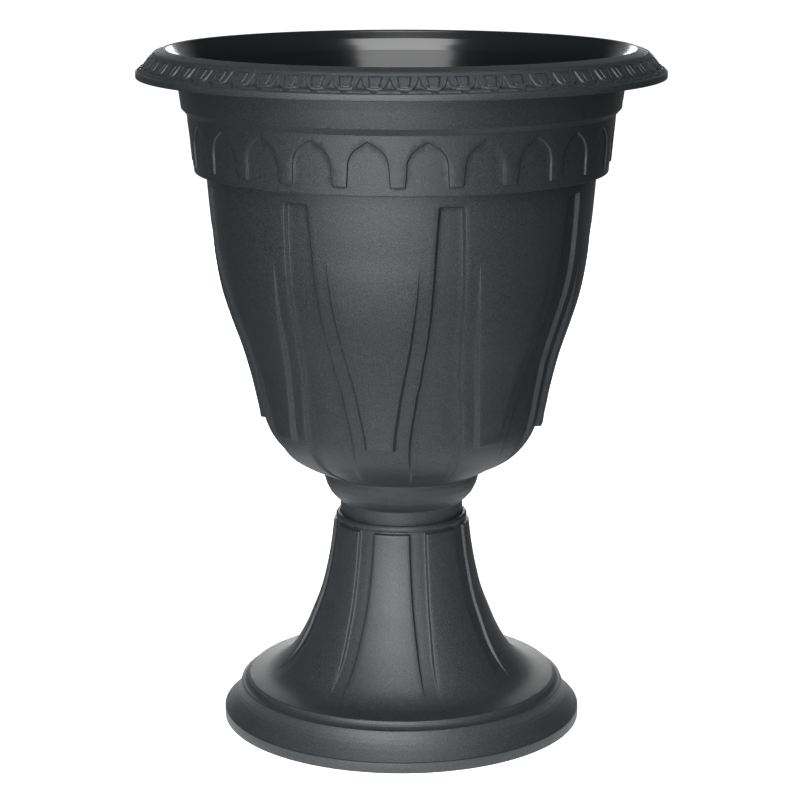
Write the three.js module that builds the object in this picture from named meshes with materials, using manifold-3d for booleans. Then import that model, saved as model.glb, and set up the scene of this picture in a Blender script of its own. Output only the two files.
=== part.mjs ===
// Urn planter: a fluted bowl with a rolled rim, locked by a twist into a hollow flared pedestal,
// and the push-in plug of the drain hole in the bowl's floor.
//
// Millimetres, +Z up. The origin is the middle of the foot on the ground, and the axis of the urn
// is the Z axis. One tongue, one arch and one pedestal panel face -Y.

import * as THREE from 'three';
import { mergeVertices } from 'three/addons/utils/BufferGeometryUtils.js';
import Module from 'manifold-3d';

const wasm = await Module();
wasm.setup();

// ---------------------------------------------------------------- driving dimensions

const WALL = 2.6;                  // moulded wall, measured across the wall
const GAP = 0.3;                   // seat clearance between two pieces that touch

// Pedestal
const FOOT_RADIUS = 142.9;
const PEDESTAL_HEIGHT = 168;
const SKIRT_HEIGHT = 8;            // upright band that stands on the ground
const COVE_WIDTH = 13.9;           // hollow moulding above the skirt
const COVE_HEIGHT = 20.6;
const COVE_SAG = 1.65;             // depth of the hollow below its chord
const STEP_WIDTH = 7;              // smaller hollow from there up to the edge of the flare
const STEP_HEIGHT = 5.6;
const STEP_SAG = 1.3;
const TOP_HEIGHT = 5.5;            // rounded edge between the panels and the top
const TOP_WALL = 2.1;              // wall round the socket, in the ground between the panels
const PANELS = 8;
const PANEL_RISE = 2.4;            // how far a panel stands out of the ground between panels
const PANEL_HALF_TOP = 15.5;       // half angle of a panel in degrees, at the top and at the foot
const PANEL_HALF_FOOT = 19;
const PANEL_FADE = 30;             // height over which a panel sinks into the flare at its foot
const PANEL_BEVEL = 0.9;           // half angle taken by the sloping side of a panel, degrees

// Bowl
const RIM_RADIUS = 203.2;
const BOWL_HEIGHT = 367;           // from the top of the pedestal to the top of the rim
const RIM_REACH = 24.3;            // from the mouth's edge out to the lip
const RIM_DROP = 21.7;             // from the top of the rim down to the lip's lower edge
const RIM_LEAN = 8.9;              // from the mouth in to the upright wall, and the height this takes
const RIM_LEAN_HEIGHT = 16;
const OVERHANG = 34;               // from the lip in to the foot of the upper band
const UPPER_BAND_HEIGHT = 44.8;    // from the top of the rim down to the bevel
const BAND_WAIST = 14;             // height on the upper band where it starts to open to the rim
const BEVEL_WIDTH = 4.3;           // bevel between the upper band and the arch band
const BEVEL_HEIGHT = 4.6;
const ARCH_BAND_HEIGHT = 44.3;
const BAND_DRAFT = 0.083;          // how much the arch band opens per millimetre of height
const SHOULDER_STEP = 8.5;         // underside of the arch band, in to the body
const COLLAR_REACH = 13.3;         // from the neck out to the edge of the collar
const COLLAR_TOP = 34.6;           // heights above the top of the pedestal
const COLLAR_FOOT = 11;
const FLOOR_LIFT = 4.5;            // from the edge of the collar up to the floor of the bowl

// Relief on the bowl
const SECTORS = 8;                 // one flute and one tongue in each
const FLUTE_DEPTH = 3.4;
const FLUTE_MARGIN = 6.4;          // from the arch band down to the square tops of the flutes
const FLUTE_FADE = 24;             // the flutes grow shallow over this height above the collar
const TONGUE_RISE = 3.9;
const TONGUE_MARGIN = 51;          // from the arch band down to where the tongues start
const TONGUE_FOOT = 40;            // from the edge of the collar up to the foot of the tongues
const TONGUE_GROWTH = 72;          // height over which a tongue comes out of the body
const SIDE_SLOPE = 0.6;            // half angle taken by the sloping side of flute or tongue, degrees
const STEP_SLOPE = 2;              // height taken by the sloping end of flute or tongue
const ARCHES = 24;
const ARCH_RISE = 1.4;             // how far the ground between the arches stands out
const ARCH_FOOT = 6.5;             // heights on the arch band
const ARCH_SPRING = 22.7;          // where the straight legs end and the shoulders begin
const ARCH_SHOULDER = 32.3;        // where the round shoulders turn into the pointed top
const ARCH_APEX = 39.3;
const ARCH_HALF_FOOT = 15.9;       // half widths at those heights
const ARCH_HALF_SPRING = 14.7;
const ARCH_HALF_SHOULDER = 10.6;
const NICHE_SINK = 0.4;            // middle of a niche's flat floor, below the round of the band

// Twist lock: the neck stands on a shelf in the pedestal, and a narrower spigot goes through the
// shelf and carries lugs that turn under it
const NECK_RADIUS = 48.5;
const NECK_CLEARANCE = 0.6;        // between the neck and the socket
const SOCKET_DEPTH = 22;
const SPIGOT_STEP = 9.1;           // from the neck in to the spigot
const SPIGOT_LENGTH = 10;
const SPIGOT_CLEARANCE = 0.6;      // between the spigot and the hole in the shelf
const SHELF_THICKNESS = 3;
const LUGS = 3;
const LUG_REACH = 3.6;
const LUG_HALF_ANGLE = 8;          // degrees
const LUG_HEIGHT = 4;
const STOP_HALF_ANGLE = 1.5;       // blocks under the shelf that the locked lugs come to rest at
const STOP_CLEARANCE = 0.5;        // degrees between a locked lug and its stop
const NOTCH_CLEARANCE = 0.6;       // round a lug in its notch
const NOTCH_MARGIN_ANGLE = 1;      // the same to the sides, degrees
const UNLOCK_ANGLE = 30;           // turn from the locked stop to the notches, degrees

// Drain
const DRAIN_RADIUS = 10.2;
const PLUG_CLEARANCE = 0.5;
const PLUG_FLANGE_RADIUS = 15;
const PLUG_FLANGE_THICKNESS = 2.2;
const PLUG_GRIP_RADIUS = 4.5;
const PLUG_GRIP_HEIGHT = 7;
const PLUG_STEM_LENGTH = 8;
const PLUG_TAPER = 1.2;            // narrowing at the tip of the stem, over PLUG_TAPER_HEIGHT
const PLUG_TAPER_HEIGHT = 3;
const SEAT_SINK = 0.8;             // depth of the seat in the floor that takes the plug's flange

// Facets
const BOWL_COLUMNS = 9;            // round one sector
const PEDESTAL_COLUMNS = 8;        // round one panel
const SMALL_FACETS = 28;           // round the plug, the lugs and their notches

const CHARCOAL = 0x2b2d2f;
const SOOT = 0x1b1c1d;

// Section of the rolled rim: [out from the mouth, down from the top], from the inside of the mouth
// over the roll, the raised ring and the hollow moulding to the lip, and back underneath.
const RIM_SECTION = [
  [-0.4, 1.5], [0.2, 0.4], [2, 0], [9.6, 2.7], [12.6, 4.9], [14.5, 8], [17.9, 12.3], [23.4, 16.4],
  [RIM_REACH, 17.8], [RIM_REACH, RIM_DROP], [RIM_REACH - WALL, RIM_DROP], [20.9, 18.8],
  [13.4, 11.5], [11, 7.6], [3.2, 5.2], [0.2, 9.5], [-4.6, 16],
];

// Outlines as shares of the way up and of the way out: [up, out]. They give the outer form of the
// body between the collar and the arch band, and of the flare between the ledge and the throat.
const BODY_OUTLINE = [
  [0, 0], [0.02, 0.14], [0.048, 0.28], [0.082, 0.39], [0.132, 0.478], [0.199, 0.535],
  [0.304, 0.591], [0.409, 0.662], [0.514, 0.759], [0.618, 0.855], [0.723, 0.924], [0.849, 0.964],
  [1, 1],
];
const FLARE_OUTLINE = [
  [0, 1], [0.02, 0.81], [0.045, 0.7], [0.08, 0.61], [0.126, 0.531], [0.174, 0.466],
  [0.285, 0.348], [0.404, 0.253], [0.523, 0.167], [0.682, 0.09], [0.841, 0.036], [1, 0],
];
// Half angles of a flute and of a tongue in degrees: [share of the body's height, half angle].
const FLUTE_HALF_ANGLES = [
  [0, 8.2], [0.05, 9.2], [0.1, 10.4], [0.145, 10.8], [0.2, 10.4], [0.275, 9.3], [0.355, 8.1],
  [0.44, 6.8], [0.53, 5.6], [0.62, 5.1], [0.75, 4.5], [0.96, 3.1],
];
const TONGUE_HALF_ANGLES = [
  [0.16, 5.6], [0.22, 6.1], [0.27, 6.9], [0.345, 8.1], [0.415, 9.5], [0.505, 11.1],
  [0.6, 12.2], [0.69, 13.1], [0.78, 13.5],
];

// ---------------------------------------------------------------- derived sizes

const LEDGE_RADIUS = FOOT_RADIUS - COVE_WIDTH - STEP_WIDTH;
const LEDGE_HEIGHT = SKIRT_HEIGHT + COVE_HEIGHT + STEP_HEIGHT;
const SOCKET_RADIUS = NECK_RADIUS + NECK_CLEARANCE;
const THROAT_RADIUS = SOCKET_RADIUS + TOP_WALL + PANEL_RISE;
const PANEL_TOP = PEDESTAL_HEIGHT - TOP_HEIGHT;
const SPIGOT_RADIUS = NECK_RADIUS - SPIGOT_STEP;
const LUG_RADIUS = SPIGOT_RADIUS + LUG_REACH;
const SHELF_RADIUS = SPIGOT_RADIUS + SPIGOT_CLEARANCE;
const SHELF_TOP = PEDESTAL_HEIGHT - SOCKET_DEPTH;
const SHELF_FOOT = SHELF_TOP - SHELF_THICKNESS;
const NECK_FOOT = SHELF_TOP + GAP;
const SPIGOT_FOOT = NECK_FOOT - SPIGOT_LENGTH;
const LUG_TOP = SHELF_FOOT - GAP;
const LUG_FOOT = LUG_TOP - LUG_HEIGHT;

const RIM_TOP = PEDESTAL_HEIGHT + BOWL_HEIGHT;
const MOUTH_RADIUS = RIM_RADIUS - RIM_REACH;
const UPPER_BAND_FOOT = RIM_TOP - UPPER_BAND_HEIGHT;
const UPPER_BAND_RADIUS = RIM_RADIUS - OVERHANG;
const BAND_TOP = UPPER_BAND_FOOT - BEVEL_HEIGHT;
const BAND_RADIUS = UPPER_BAND_RADIUS - BEVEL_WIDTH;
const BAND_FOOT = BAND_TOP - ARCH_BAND_HEIGHT;
const BAND_FOOT_RADIUS = BAND_RADIUS - ARCH_RISE - ARCH_BAND_HEIGHT * BAND_DRAFT;
const BODY_TOP = BAND_FOOT - GAP;
const BODY_TOP_RADIUS = BAND_FOOT_RADIUS - SHOULDER_STEP;
const COLLAR_RADIUS = NECK_RADIUS + COLLAR_REACH;
const BODY_FOOT = PEDESTAL_HEIGHT + COLLAR_TOP;
const BODY_HEIGHT = BODY_TOP - BODY_FOOT;
const FLOOR_TOP = BODY_FOOT + FLOOR_LIFT;
const FLUTE_TOP_Z = BODY_TOP - FLUTE_MARGIN;
const TONGUE_TOP_Z = BODY_TOP - TONGUE_MARGIN;
const TONGUE_FOOT_Z = BODY_FOOT + TONGUE_FOOT;

const radians = THREE.MathUtils.degToRad;

// ---------------------------------------------------------------- helpers

/** Smooth function through [x, y] pairs: a Catmull-Rom curve sampled finely and read by x. */
function outlineFunction(pairs) {
  const curve = new THREE.SplineCurve(pairs.map(([x, y]) => new THREE.Vector2(x, y)));
  const samples = curve.getPoints(pairs.length * 16);
  return (x) => {
    if (x <= samples[0].x) return samples[0].y;
    for (let i = 1; i < samples.length; i += 1) {
      if (x > samples[i].x) continue;
      const share = (x - samples[i - 1].x) / (samples[i].x - samples[i - 1].x);
      return THREE.MathUtils.lerp(samples[i - 1].y, samples[i].y, share);
    }
    return samples.at(-1).y;
  };
}

/** Points after `start` of a quarter ellipse to `end`, leaving `start` upright or straight down. */
function quarterRound(start, end, steps) {
  return Array.from({ length: steps }, (_, i) => {
    const angle = (Math.PI / 2) * ((i + 1) / steps);
    return {
      r: THREE.MathUtils.lerp(start.r, end.r, 1 - Math.cos(angle)),
      z: THREE.MathUtils.lerp(start.z, end.z, Math.sin(angle)),
    };
  });
}

/** Points after `start` of a shallow curve to `end` that bows to the left of its chord by `sag`. */
function saggedLine(start, end, sag, steps) {
  const from = new THREE.Vector2(start.r, start.z);
  const to = new THREE.Vector2(end.r, end.z);
  const along = to.clone().sub(from).normalize();
  const leftwards = new THREE.Vector2(-along.y, along.x);
  const middle = from.clone().lerp(to, 0.5).addScaledVector(leftwards, sag * 2);
  return new THREE.QuadraticBezierCurve(from, middle, to).getPoints(steps)
    .slice(1).map(({ x, y }) => ({ r: x, z: y }));
}

/** Turns a closed geometry into a solid that can be joined and cut. */
function toSolid(geometry) {
  geometry.deleteAttribute('normal');
  geometry.deleteAttribute('uv');
  const merged = mergeVertices(geometry, 1e-4);
  const solid = new wasm.Manifold(new wasm.Mesh({
    numProp: 3,
    vertProperties: new Float32Array(merged.attributes.position.array),
    triVerts: new Uint32Array(merged.index.array),
  }));
  return solid;
}

/** Makes the named mesh of a finished solid. */
function toMesh(name, solid, material) {
  const { vertProperties, triVerts } = solid.getMesh();
  const geometry = new THREE.BufferGeometry();
  geometry.setAttribute('position', new THREE.BufferAttribute(vertProperties, 3));
  geometry.setIndex(new THREE.BufferAttribute(triVerts, 1));
  geometry.computeVertexNormals();
  const mesh = new THREE.Mesh(geometry, material);
  mesh.name = name;
  return mesh;
}

/**
 * A turned ring with relief. `rows` is the closed cross-section, walked with the material on its
 * left. `place(row, column)` may give a row's column its own { angle, rise }; angles run
 * anticlockwise from +X, and the first column of a plain row lies at `startAngle`.
 */
function turnedRing(rows, columns, startAngle, place) {
  const profile = [...rows, rows[0]].map(({ r, z }) => new THREE.Vector2(r, z));
  const geometry = new THREE.LatheGeometry(profile, columns);
  const position = geometry.attributes.position;
  for (let column = 0; column <= columns; column += 1) {
    for (let i = 0; i < profile.length; i += 1) {
      const row = rows[i % rows.length];
      const wrapped = column % columns;
      const plain = { angle: startAngle + (wrapped / columns) * Math.PI * 2, rise: 0 };
      const { angle, rise } = place?.(row, wrapped) ?? plain;
      const radius = row.r + rise;
      position.setXYZ(column * profile.length + i,
        radius * Math.cos(angle), radius * Math.sin(angle), row.z);
    }
  }
  return toSolid(geometry);
}

/** A block bent round the axis: a ring sector between two radii, two angles and two heights. */
function ringSector(innerRadius, outerRadius, startAngle, endAngle, foot, top) {
  const shape = new THREE.Shape();
  shape.absarc(0, 0, outerRadius, startAngle, endAngle, false);
  shape.absarc(0, 0, innerRadius, endAngle, startAngle, true);
  shape.closePath();
  const curveSegments = Math.ceil((endAngle - startAngle) / radians(180 / SMALL_FACETS));
  const geometry = new THREE.ExtrudeGeometry(shape, {
    depth: top - foot, bevelEnabled: false, curveSegments,
  });
  geometry.translate(0, 0, foot);
  return toSolid(geometry);
}

/** How far, in degrees, the sides of the relief move on the inner face to keep the wall. */
function sideShift(row) {
  return row.inner ? THREE.MathUtils.radToDeg(WALL / 2 / row.r) : 0;
}

// ---------------------------------------------------------------- pedestal

const flareShare = outlineFunction(FLARE_OUTLINE);

/** Outer radius of the raised panels at a height on the flare. */
function flareRadius(z) {
  const up = (z - LEDGE_HEIGHT) / (PANEL_TOP - LEDGE_HEIGHT);
  return THREE.MathUtils.lerp(THROAT_RADIUS, LEDGE_RADIUS, flareShare(up));
}

/** How far the panels stand out at a height: nothing at the ledge, all of it above the fade. */
function panelRise(z) {
  const start = LEDGE_HEIGHT + STEP_HEIGHT / 2;
  return PANEL_RISE * THREE.MathUtils.smoothstep(z, start, start + PANEL_FADE);
}

/** The eight column angles round one panel, in degrees from the panel's middle. */
function panelColumn(z, column, shift) {
  const up = THREE.MathUtils.clamp((z - LEDGE_HEIGHT) / (PANEL_TOP - LEDGE_HEIGHT), 0, 1);
  const half = THREE.MathUtils.lerp(PANEL_HALF_FOOT, PANEL_HALF_TOP, Math.sqrt(up)) - shift;
  const top = half - PANEL_BEVEL;
  const foot = half + PANEL_BEVEL;
  const between = 180 / PANELS;
  return [-between, -foot, -top, -top / 2, 0, top / 2, top, foot][column];
}

/** Places a flare row: the ground is sunk between the panels, and the panels keep the outline. */
function placePanel(row, column) {
  if (!row.panel) return null;
  const within = column % PEDESTAL_COLUMNS;
  const panel = Math.floor(column / PEDESTAL_COLUMNS);
  const middle = -90 + panel * (360 / PANELS);
  const sunk = within < 2 || within === PEDESTAL_COLUMNS - 1;
  return {
    angle: radians(middle + panelColumn(row.z, within, sideShift(row))),
    rise: sunk || row.level ? -panelRise(row.reliefAt ?? row.z) : 0,
  };
}

/** Wall offset of an outline r(z): how far in and how far up the inner face lies from the outer. */
function wallOffset(radiusAt, z) {
  const slope = (radiusAt(z + 1) - radiusAt(z - 1)) / 2;
  const square = Math.hypot(1, slope);
  return { inwards: WALL / square, upwards: (WALL * slope) / square, level: WALL * square };
}

function pedestalRows() {
  const coveFoot = { r: FOOT_RADIUS - 1, z: SKIRT_HEIGHT };
  const coveTop = { r: FOOT_RADIUS - COVE_WIDTH, z: SKIRT_HEIGHT + COVE_HEIGHT };
  const stepFoot = { r: coveTop.r - GAP * 2, z: coveTop.z + GAP };
  const [innerFoot, innerTop] = [coveFoot, coveTop].map(({ r, z }) => ({ r: r - WALL, z: z - WALL / 2 }));
  const flare = [0.02, 0.055, 0.11, 0.18, 0.28, 0.42, 0.6, 0.8, 1].map((up) => {
    const z = THREE.MathUtils.lerp(LEDGE_HEIGHT, PANEL_TOP, up);
    return { r: flareRadius(z), z, panel: true };
  });
  const innerFlare = [1, 0.72, 0.45, 0.24, 0.12, 0.042].map((up) => {
    const z = THREE.MathUtils.lerp(LEDGE_HEIGHT, SHELF_FOOT - WALL, up);
    const { inwards, upwards } = wallOffset(flareRadius, z);
    return { r: flareRadius(z) - inwards, z: z + upwards, reliefAt: z, panel: true, inner: true };
  });
  const topFoot = { r: THROAT_RADIUS - PANEL_RISE, z: PANEL_TOP + STEP_SLOPE };
  const topEdge = { r: SOCKET_RADIUS + TOP_WALL / 2, z: PEDESTAL_HEIGHT };
  return [
    { r: FOOT_RADIUS - WALL, z: 0 },
    { r: FOOT_RADIUS, z: 0 },
    { r: FOOT_RADIUS, z: SKIRT_HEIGHT - GAP },
    coveFoot,
    ...saggedLine(coveFoot, coveTop, COVE_SAG, 3),
    stepFoot,
    ...saggedLine(stepFoot, { r: LEDGE_RADIUS, z: LEDGE_HEIGHT }, STEP_SAG, 2),
    ...flare,
    { r: THROAT_RADIUS, z: PANEL_TOP + GAP / 2, panel: true, level: true, reliefAt: PANEL_TOP },
    ...quarterRound(topFoot, topEdge, 3),
    { r: SOCKET_RADIUS, z: PEDESTAL_HEIGHT },
    { r: SOCKET_RADIUS, z: SHELF_TOP },
    { r: SHELF_RADIUS, z: SHELF_TOP },
    { r: SHELF_RADIUS, z: SHELF_FOOT },
    { r: LUG_RADIUS + WALL, z: SHELF_FOOT },
    ...innerFlare,
    { r: LEDGE_RADIUS - WALL, z: LEDGE_HEIGHT - WALL * 1.2 },
    innerTop,
    ...saggedLine(innerTop, innerFoot, -COVE_SAG, 2),
  ];
}

/** The flared shell with its shelf, the notches in the shelf and the stops under it. */
function pedestalSolid() {
  const columns = PANELS * PEDESTAL_COLUMNS;
  const shell = turnedRing(pedestalRows(), columns, radians(-90 - 180 / PANELS), placePanel);
  const stopMiddle = radians(LUG_HALF_ANGLE + STOP_CLEARANCE + STOP_HALF_ANGLE);
  const stopHalf = radians(STOP_HALF_ANGLE);
  const stops = eachLug((locked) => ringSector(SHELF_RADIUS + GAP, LUG_RADIUS + GAP,
    locked - stopMiddle - stopHalf, locked - stopMiddle + stopHalf, LUG_FOOT, SHELF_FOOT + 1));
  const notchMiddle = radians(UNLOCK_ANGLE);
  const notchHalf = radians(LUG_HALF_ANGLE + NOTCH_MARGIN_ANGLE);
  const notches = eachLug((locked) => ringSector(SHELF_RADIUS - 1, LUG_RADIUS + NOTCH_CLEARANCE,
    locked + notchMiddle - notchHalf, locked + notchMiddle + notchHalf,
    SHELF_FOOT - 1, SHELF_TOP + 1));
  const stopped = stops.reduce((solid, stop) => solid.add(stop), shell);
  return notches.reduce((solid, notch) => solid.subtract(notch), stopped);
}

/** Runs `make` with the locked angle of each lug, and returns what it makes. */
function eachLug(make) {
  return Array.from({ length: LUGS }, (_, i) => make(radians(-90 + i * (360 / LUGS))));
}

// ---------------------------------------------------------------- bowl

const bodyShare = outlineFunction(BODY_OUTLINE);
const fluteHalfAngle = outlineFunction(FLUTE_HALF_ANGLES);
const tongueHalfAngle = outlineFunction(TONGUE_HALF_ANGLES);

/** Outer radius of the plain body at a height. */
function bodyRadius(z) {
  const up = (z - BODY_FOOT) / BODY_HEIGHT;
  return THREE.MathUtils.lerp(COLLAR_RADIUS, BODY_TOP_RADIUS, bodyShare(up));
}

/** Depth of the flutes at a height: full below their square top, fading out above the collar. */
function fluteDepth(z) {
  if (z > FLUTE_TOP_Z - STEP_SLOPE) return 0;
  const start = BODY_FOOT + WALL;
  return FLUTE_DEPTH * THREE.MathUtils.smoothstep(z, start, start + FLUTE_FADE);
}

/** Rise of the tongues at a height: they grow out of the body and end in a square step. */
function tongueRise(z) {
  if (z < TONGUE_FOOT_Z) return 0;
  const start = TONGUE_TOP_Z - TONGUE_GROWTH;
  return TONGUE_RISE * (1 - THREE.MathUtils.smoothstep(z, start, TONGUE_TOP_Z));
}

/**
 * The nine column angles round one sector, in degrees from the middle of its tongue. On the inner
 * face the flutes are wider and the tongues narrower by `shift`, which keeps their sides thick.
 */
function bodyColumn(z, column, shift) {
  const up = THREE.MathUtils.clamp((z - BODY_FOOT) / BODY_HEIGHT, 0, 1);
  const between = 180 / SECTORS;
  const flute = fluteHalfAngle(up) + shift;
  const fluteFloor = between - flute + SIDE_SLOPE;
  const fluteEdge = between - flute - SIDE_SLOPE;
  const tongueShows = z < TONGUE_TOP_Z + 1;
  const tongue = tongueHalfAngle(up) - shift;
  const tongueFoot = tongueShows ? tongue + SIDE_SLOPE : fluteEdge * (2 / 3);
  const tongueTop = tongueShows ? tongue - SIDE_SLOPE : fluteEdge / 3;
  return [-fluteFloor, -fluteEdge, -tongueFoot, -tongueTop, 0,
    tongueTop, tongueFoot, fluteEdge, fluteFloor][column];
}

/** Places a body row: floors of the flutes sunk, faces of the tongues raised. */
function placeBody(row, column) {
  if (!row.body) return null;
  const within = column % BOWL_COLUMNS;
  const sector = Math.floor(column / BOWL_COLUMNS);
  const middle = -90 + sector * (360 / SECTORS);
  const z = row.reliefAt ?? row.z;
  let rise = 0;
  if (within === 0 || within === BOWL_COLUMNS - 1) rise = -fluteDepth(z);
  if (within >= 3 && within <= 5) rise = tongueRise(z);
  return { angle: radians(middle + bodyColumn(z, within, sideShift(row))), rise };
}

/** Rows that carry the body's relief, from the top down; the shares leave out the square ends. */
function bodyRows(highShares, lowShares, rowAt) {
  const at = (up) => BODY_FOOT + up * BODY_HEIGHT;
  return [
    FLUTE_TOP_Z, FLUTE_TOP_Z - STEP_SLOPE - GAP / 2, ...highShares.map(at),
    TONGUE_FOOT_Z + GAP / 2, TONGUE_FOOT_Z - STEP_SLOPE, ...lowShares.map(at),
  ].map(rowAt);
}

/** Radius of the niches' level on the arch band at a height. */
function bandRadius(z) {
  return BAND_RADIUS - ARCH_RISE - (BAND_TOP - z) * BAND_DRAFT;
}

function bowlRows() {
  const outerBody = bodyRows([0.84, 0.73, 0.63, 0.53, 0.43, 0.33, 0.245], [0.11, 0.07, 0.038, 0.013],
    (z) => ({ r: bodyRadius(z), z, body: true }));
  const innerBody = bodyRows([0.88, 0.59, 0.41, 0.255], [0.1, 0.05], (z) => {
    const { level } = wallOffset(bodyRadius, z + WALL / 2);
    return { r: bodyRadius(z + WALL / 2) - level, z: z + WALL / 2, reliefAt: z, body: true, inner: true };
  }).reverse();
  const archFoot = BAND_FOOT + ARCH_FOOT;
  const collarFoot = { r: NECK_RADIUS + GAP * 4, z: PEDESTAL_HEIGHT + COLLAR_FOOT };
  const collarSide = { r: COLLAR_RADIUS - GAP * 2, z: BODY_FOOT - WALL * 1.5 };
  const neckBore = NECK_RADIUS - WALL;
  const spigotBore = SPIGOT_RADIUS - WALL;
  return [
    // Inside, from the drain hole up to the mouth
    { r: DRAIN_RADIUS, z: FLOOR_TOP - SEAT_SINK },
    { r: PLUG_FLANGE_RADIUS + PLUG_CLEARANCE, z: FLOOR_TOP - SEAT_SINK },
    { r: PLUG_FLANGE_RADIUS + PLUG_CLEARANCE, z: FLOOR_TOP },
    { r: COLLAR_RADIUS + WALL / 2, z: FLOOR_TOP },
    ...innerBody,
    { r: BODY_TOP_RADIUS - WALL, z: BODY_TOP + WALL },
    { r: bandRadius(BAND_FOOT) - WALL, z: BAND_FOOT + WALL },
    { r: bandRadius(BAND_TOP) - WALL, z: BAND_TOP + WALL / 2 },
    { r: UPPER_BAND_RADIUS - WALL, z: UPPER_BAND_FOOT + WALL / 2 },
    { r: MOUTH_RADIUS - RIM_LEAN, z: RIM_TOP - RIM_LEAN_HEIGHT },
    ...RIM_SECTION.map(([out, down]) => ({ r: MOUTH_RADIUS + out, z: RIM_TOP - down })),
    // Outside, down over the two bands and the body to the collar
    { r: UPPER_BAND_RADIUS + BAND_DRAFT * BAND_WAIST, z: UPPER_BAND_FOOT + BAND_WAIST },
    { r: UPPER_BAND_RADIUS, z: UPPER_BAND_FOOT },
    { r: BAND_RADIUS, z: BAND_TOP },
    { r: bandRadius(archFoot) + ARCH_RISE, z: archFoot },
    { r: bandRadius(archFoot), z: archFoot - GAP },
    { r: bandRadius(BAND_FOOT), z: BAND_FOOT + GAP * 3 },
    { r: bandRadius(BAND_FOOT) - GAP * 3, z: BAND_FOOT },
    { r: BODY_TOP_RADIUS, z: BODY_TOP },
    ...outerBody,
    // Collar, neck and spigot, and back up inside them to the underside of the floor
    { r: COLLAR_RADIUS, z: BODY_FOOT },
    collarSide,
    ...quarterRound(collarSide, collarFoot, 2),
    { r: NECK_RADIUS, z: collarFoot.z - GAP * 3 },
    { r: NECK_RADIUS, z: NECK_FOOT },
    { r: SPIGOT_RADIUS, z: NECK_FOOT },
    { r: SPIGOT_RADIUS, z: SPIGOT_FOOT },
    { r: spigotBore, z: SPIGOT_FOOT },
    { r: spigotBore, z: NECK_FOOT + WALL },
    { r: neckBore, z: NECK_FOOT + WALL },
    { r: neckBore, z: collarFoot.z },
    { r: collarSide.r - WALL, z: collarSide.z },
    { r: collarSide.r - WALL, z: FLOOR_TOP - WALL },
    { r: DRAIN_RADIUS, z: FLOOR_TOP - WALL },
  ].reverse();
}

/** One arch-shaped niche as a cutter: pointed top, round shoulders, legs that splay a little. */
function archCutter(middle) {
  const archMiddle = (ARCH_FOOT + ARCH_APEX) / 2;
  const foot = ARCH_FOOT - GAP * 3 - archMiddle;
  const spring = ARCH_SPRING - archMiddle;
  const shoulder = ARCH_SHOULDER - archMiddle;
  const outline = new THREE.Shape();
  outline.moveTo(-ARCH_HALF_FOOT, foot);
  outline.lineTo(ARCH_HALF_FOOT, foot);
  outline.lineTo(ARCH_HALF_SPRING, spring);
  outline.quadraticCurveTo(ARCH_HALF_SPRING, shoulder - WALL, ARCH_HALF_SHOULDER, shoulder);
  outline.lineTo(0, ARCH_APEX - archMiddle);
  outline.lineTo(-ARCH_HALF_SHOULDER, shoulder);
  outline.quadraticCurveTo(-ARCH_HALF_SPRING, shoulder - WALL, -ARCH_HALF_SPRING, spring);
  outline.closePath();
  const geometry = new THREE.ExtrudeGeometry(outline, {
    depth: ARCH_RISE * 4, bevelEnabled: false, curveSegments: 2,
  });
  // The outline is drawn on the XY plane and grows along +Z. It is stood up to face -Y, leant with
  // the draft of the band, and pushed out until its back is the floor of the niche.
  const floorRadius = bandRadius(BAND_FOOT + archMiddle) - NICHE_SINK;
  geometry.rotateX(Math.PI / 2 + Math.atan(BAND_DRAFT));
  geometry.translate(0, -floorRadius, BAND_FOOT + archMiddle);
  geometry.rotateZ(middle);
  return toSolid(geometry);
}

function bowlSolid() {
  const columns = SECTORS * BOWL_COLUMNS;
  const start = -90 - ((BOWL_COLUMNS - 1) / 2) * (360 / columns);
  let solid = turnedRing(bowlRows(), columns, radians(start), placeBody);
  for (let i = 0; i < ARCHES; i += 1) {
    solid = solid.subtract(archCutter((i / ARCHES) * Math.PI * 2));
  }
  const half = radians(LUG_HALF_ANGLE);
  return eachLug((locked) => ringSector(SPIGOT_RADIUS - WALL / 2, LUG_RADIUS,
    locked - half, locked + half, LUG_FOOT, LUG_TOP))
    .reduce((whole, lug) => whole.add(lug), solid);
}

// ---------------------------------------------------------------- drain plug

/** A soft push-in plug: a flange on the floor, a tapered stem in the hole and a grip to pull. */
function plugSolid() {
  const seat = FLOOR_TOP - SEAT_SINK + GAP;
  const stem = DRAIN_RADIUS - PLUG_CLEARANCE;
  const flangeTop = seat + PLUG_FLANGE_THICKNESS;
  const grip = { r: PLUG_GRIP_RADIUS, z: flangeTop + PLUG_GRIP_HEIGHT * 0.7 };
  const profile = [
    { r: 0, z: seat - PLUG_STEM_LENGTH },
    { r: stem - PLUG_TAPER, z: seat - PLUG_STEM_LENGTH },
    { r: stem, z: seat - PLUG_STEM_LENGTH + PLUG_TAPER_HEIGHT },
    { r: stem, z: seat },
    { r: PLUG_FLANGE_RADIUS, z: seat },
    ...quarterRound({ r: PLUG_FLANGE_RADIUS, z: seat + GAP * 2 },
      { r: PLUG_FLANGE_RADIUS - PLUG_FLANGE_THICKNESS, z: flangeTop }, 3),
    { r: PLUG_GRIP_RADIUS - 1, z: flangeTop },
    grip,
    ...quarterRound(grip, { r: 0, z: flangeTop + PLUG_GRIP_HEIGHT }, 3),
  ];
  const geometry = new THREE.LatheGeometry(
    profile.map(({ r, z }) => new THREE.Vector2(r, z)), SMALL_FACETS,
  );
  geometry.rotateX(Math.PI / 2);
  return toSolid(geometry);
}

// ---------------------------------------------------------------- the urn

const moulded = () => new THREE.MeshStandardMaterial({
  color: CHARCOAL, roughness: 0.46, metalness: 0,
});
const rubber = new THREE.MeshStandardMaterial({ color: SOOT, roughness: 0.75, metalness: 0 });

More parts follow.
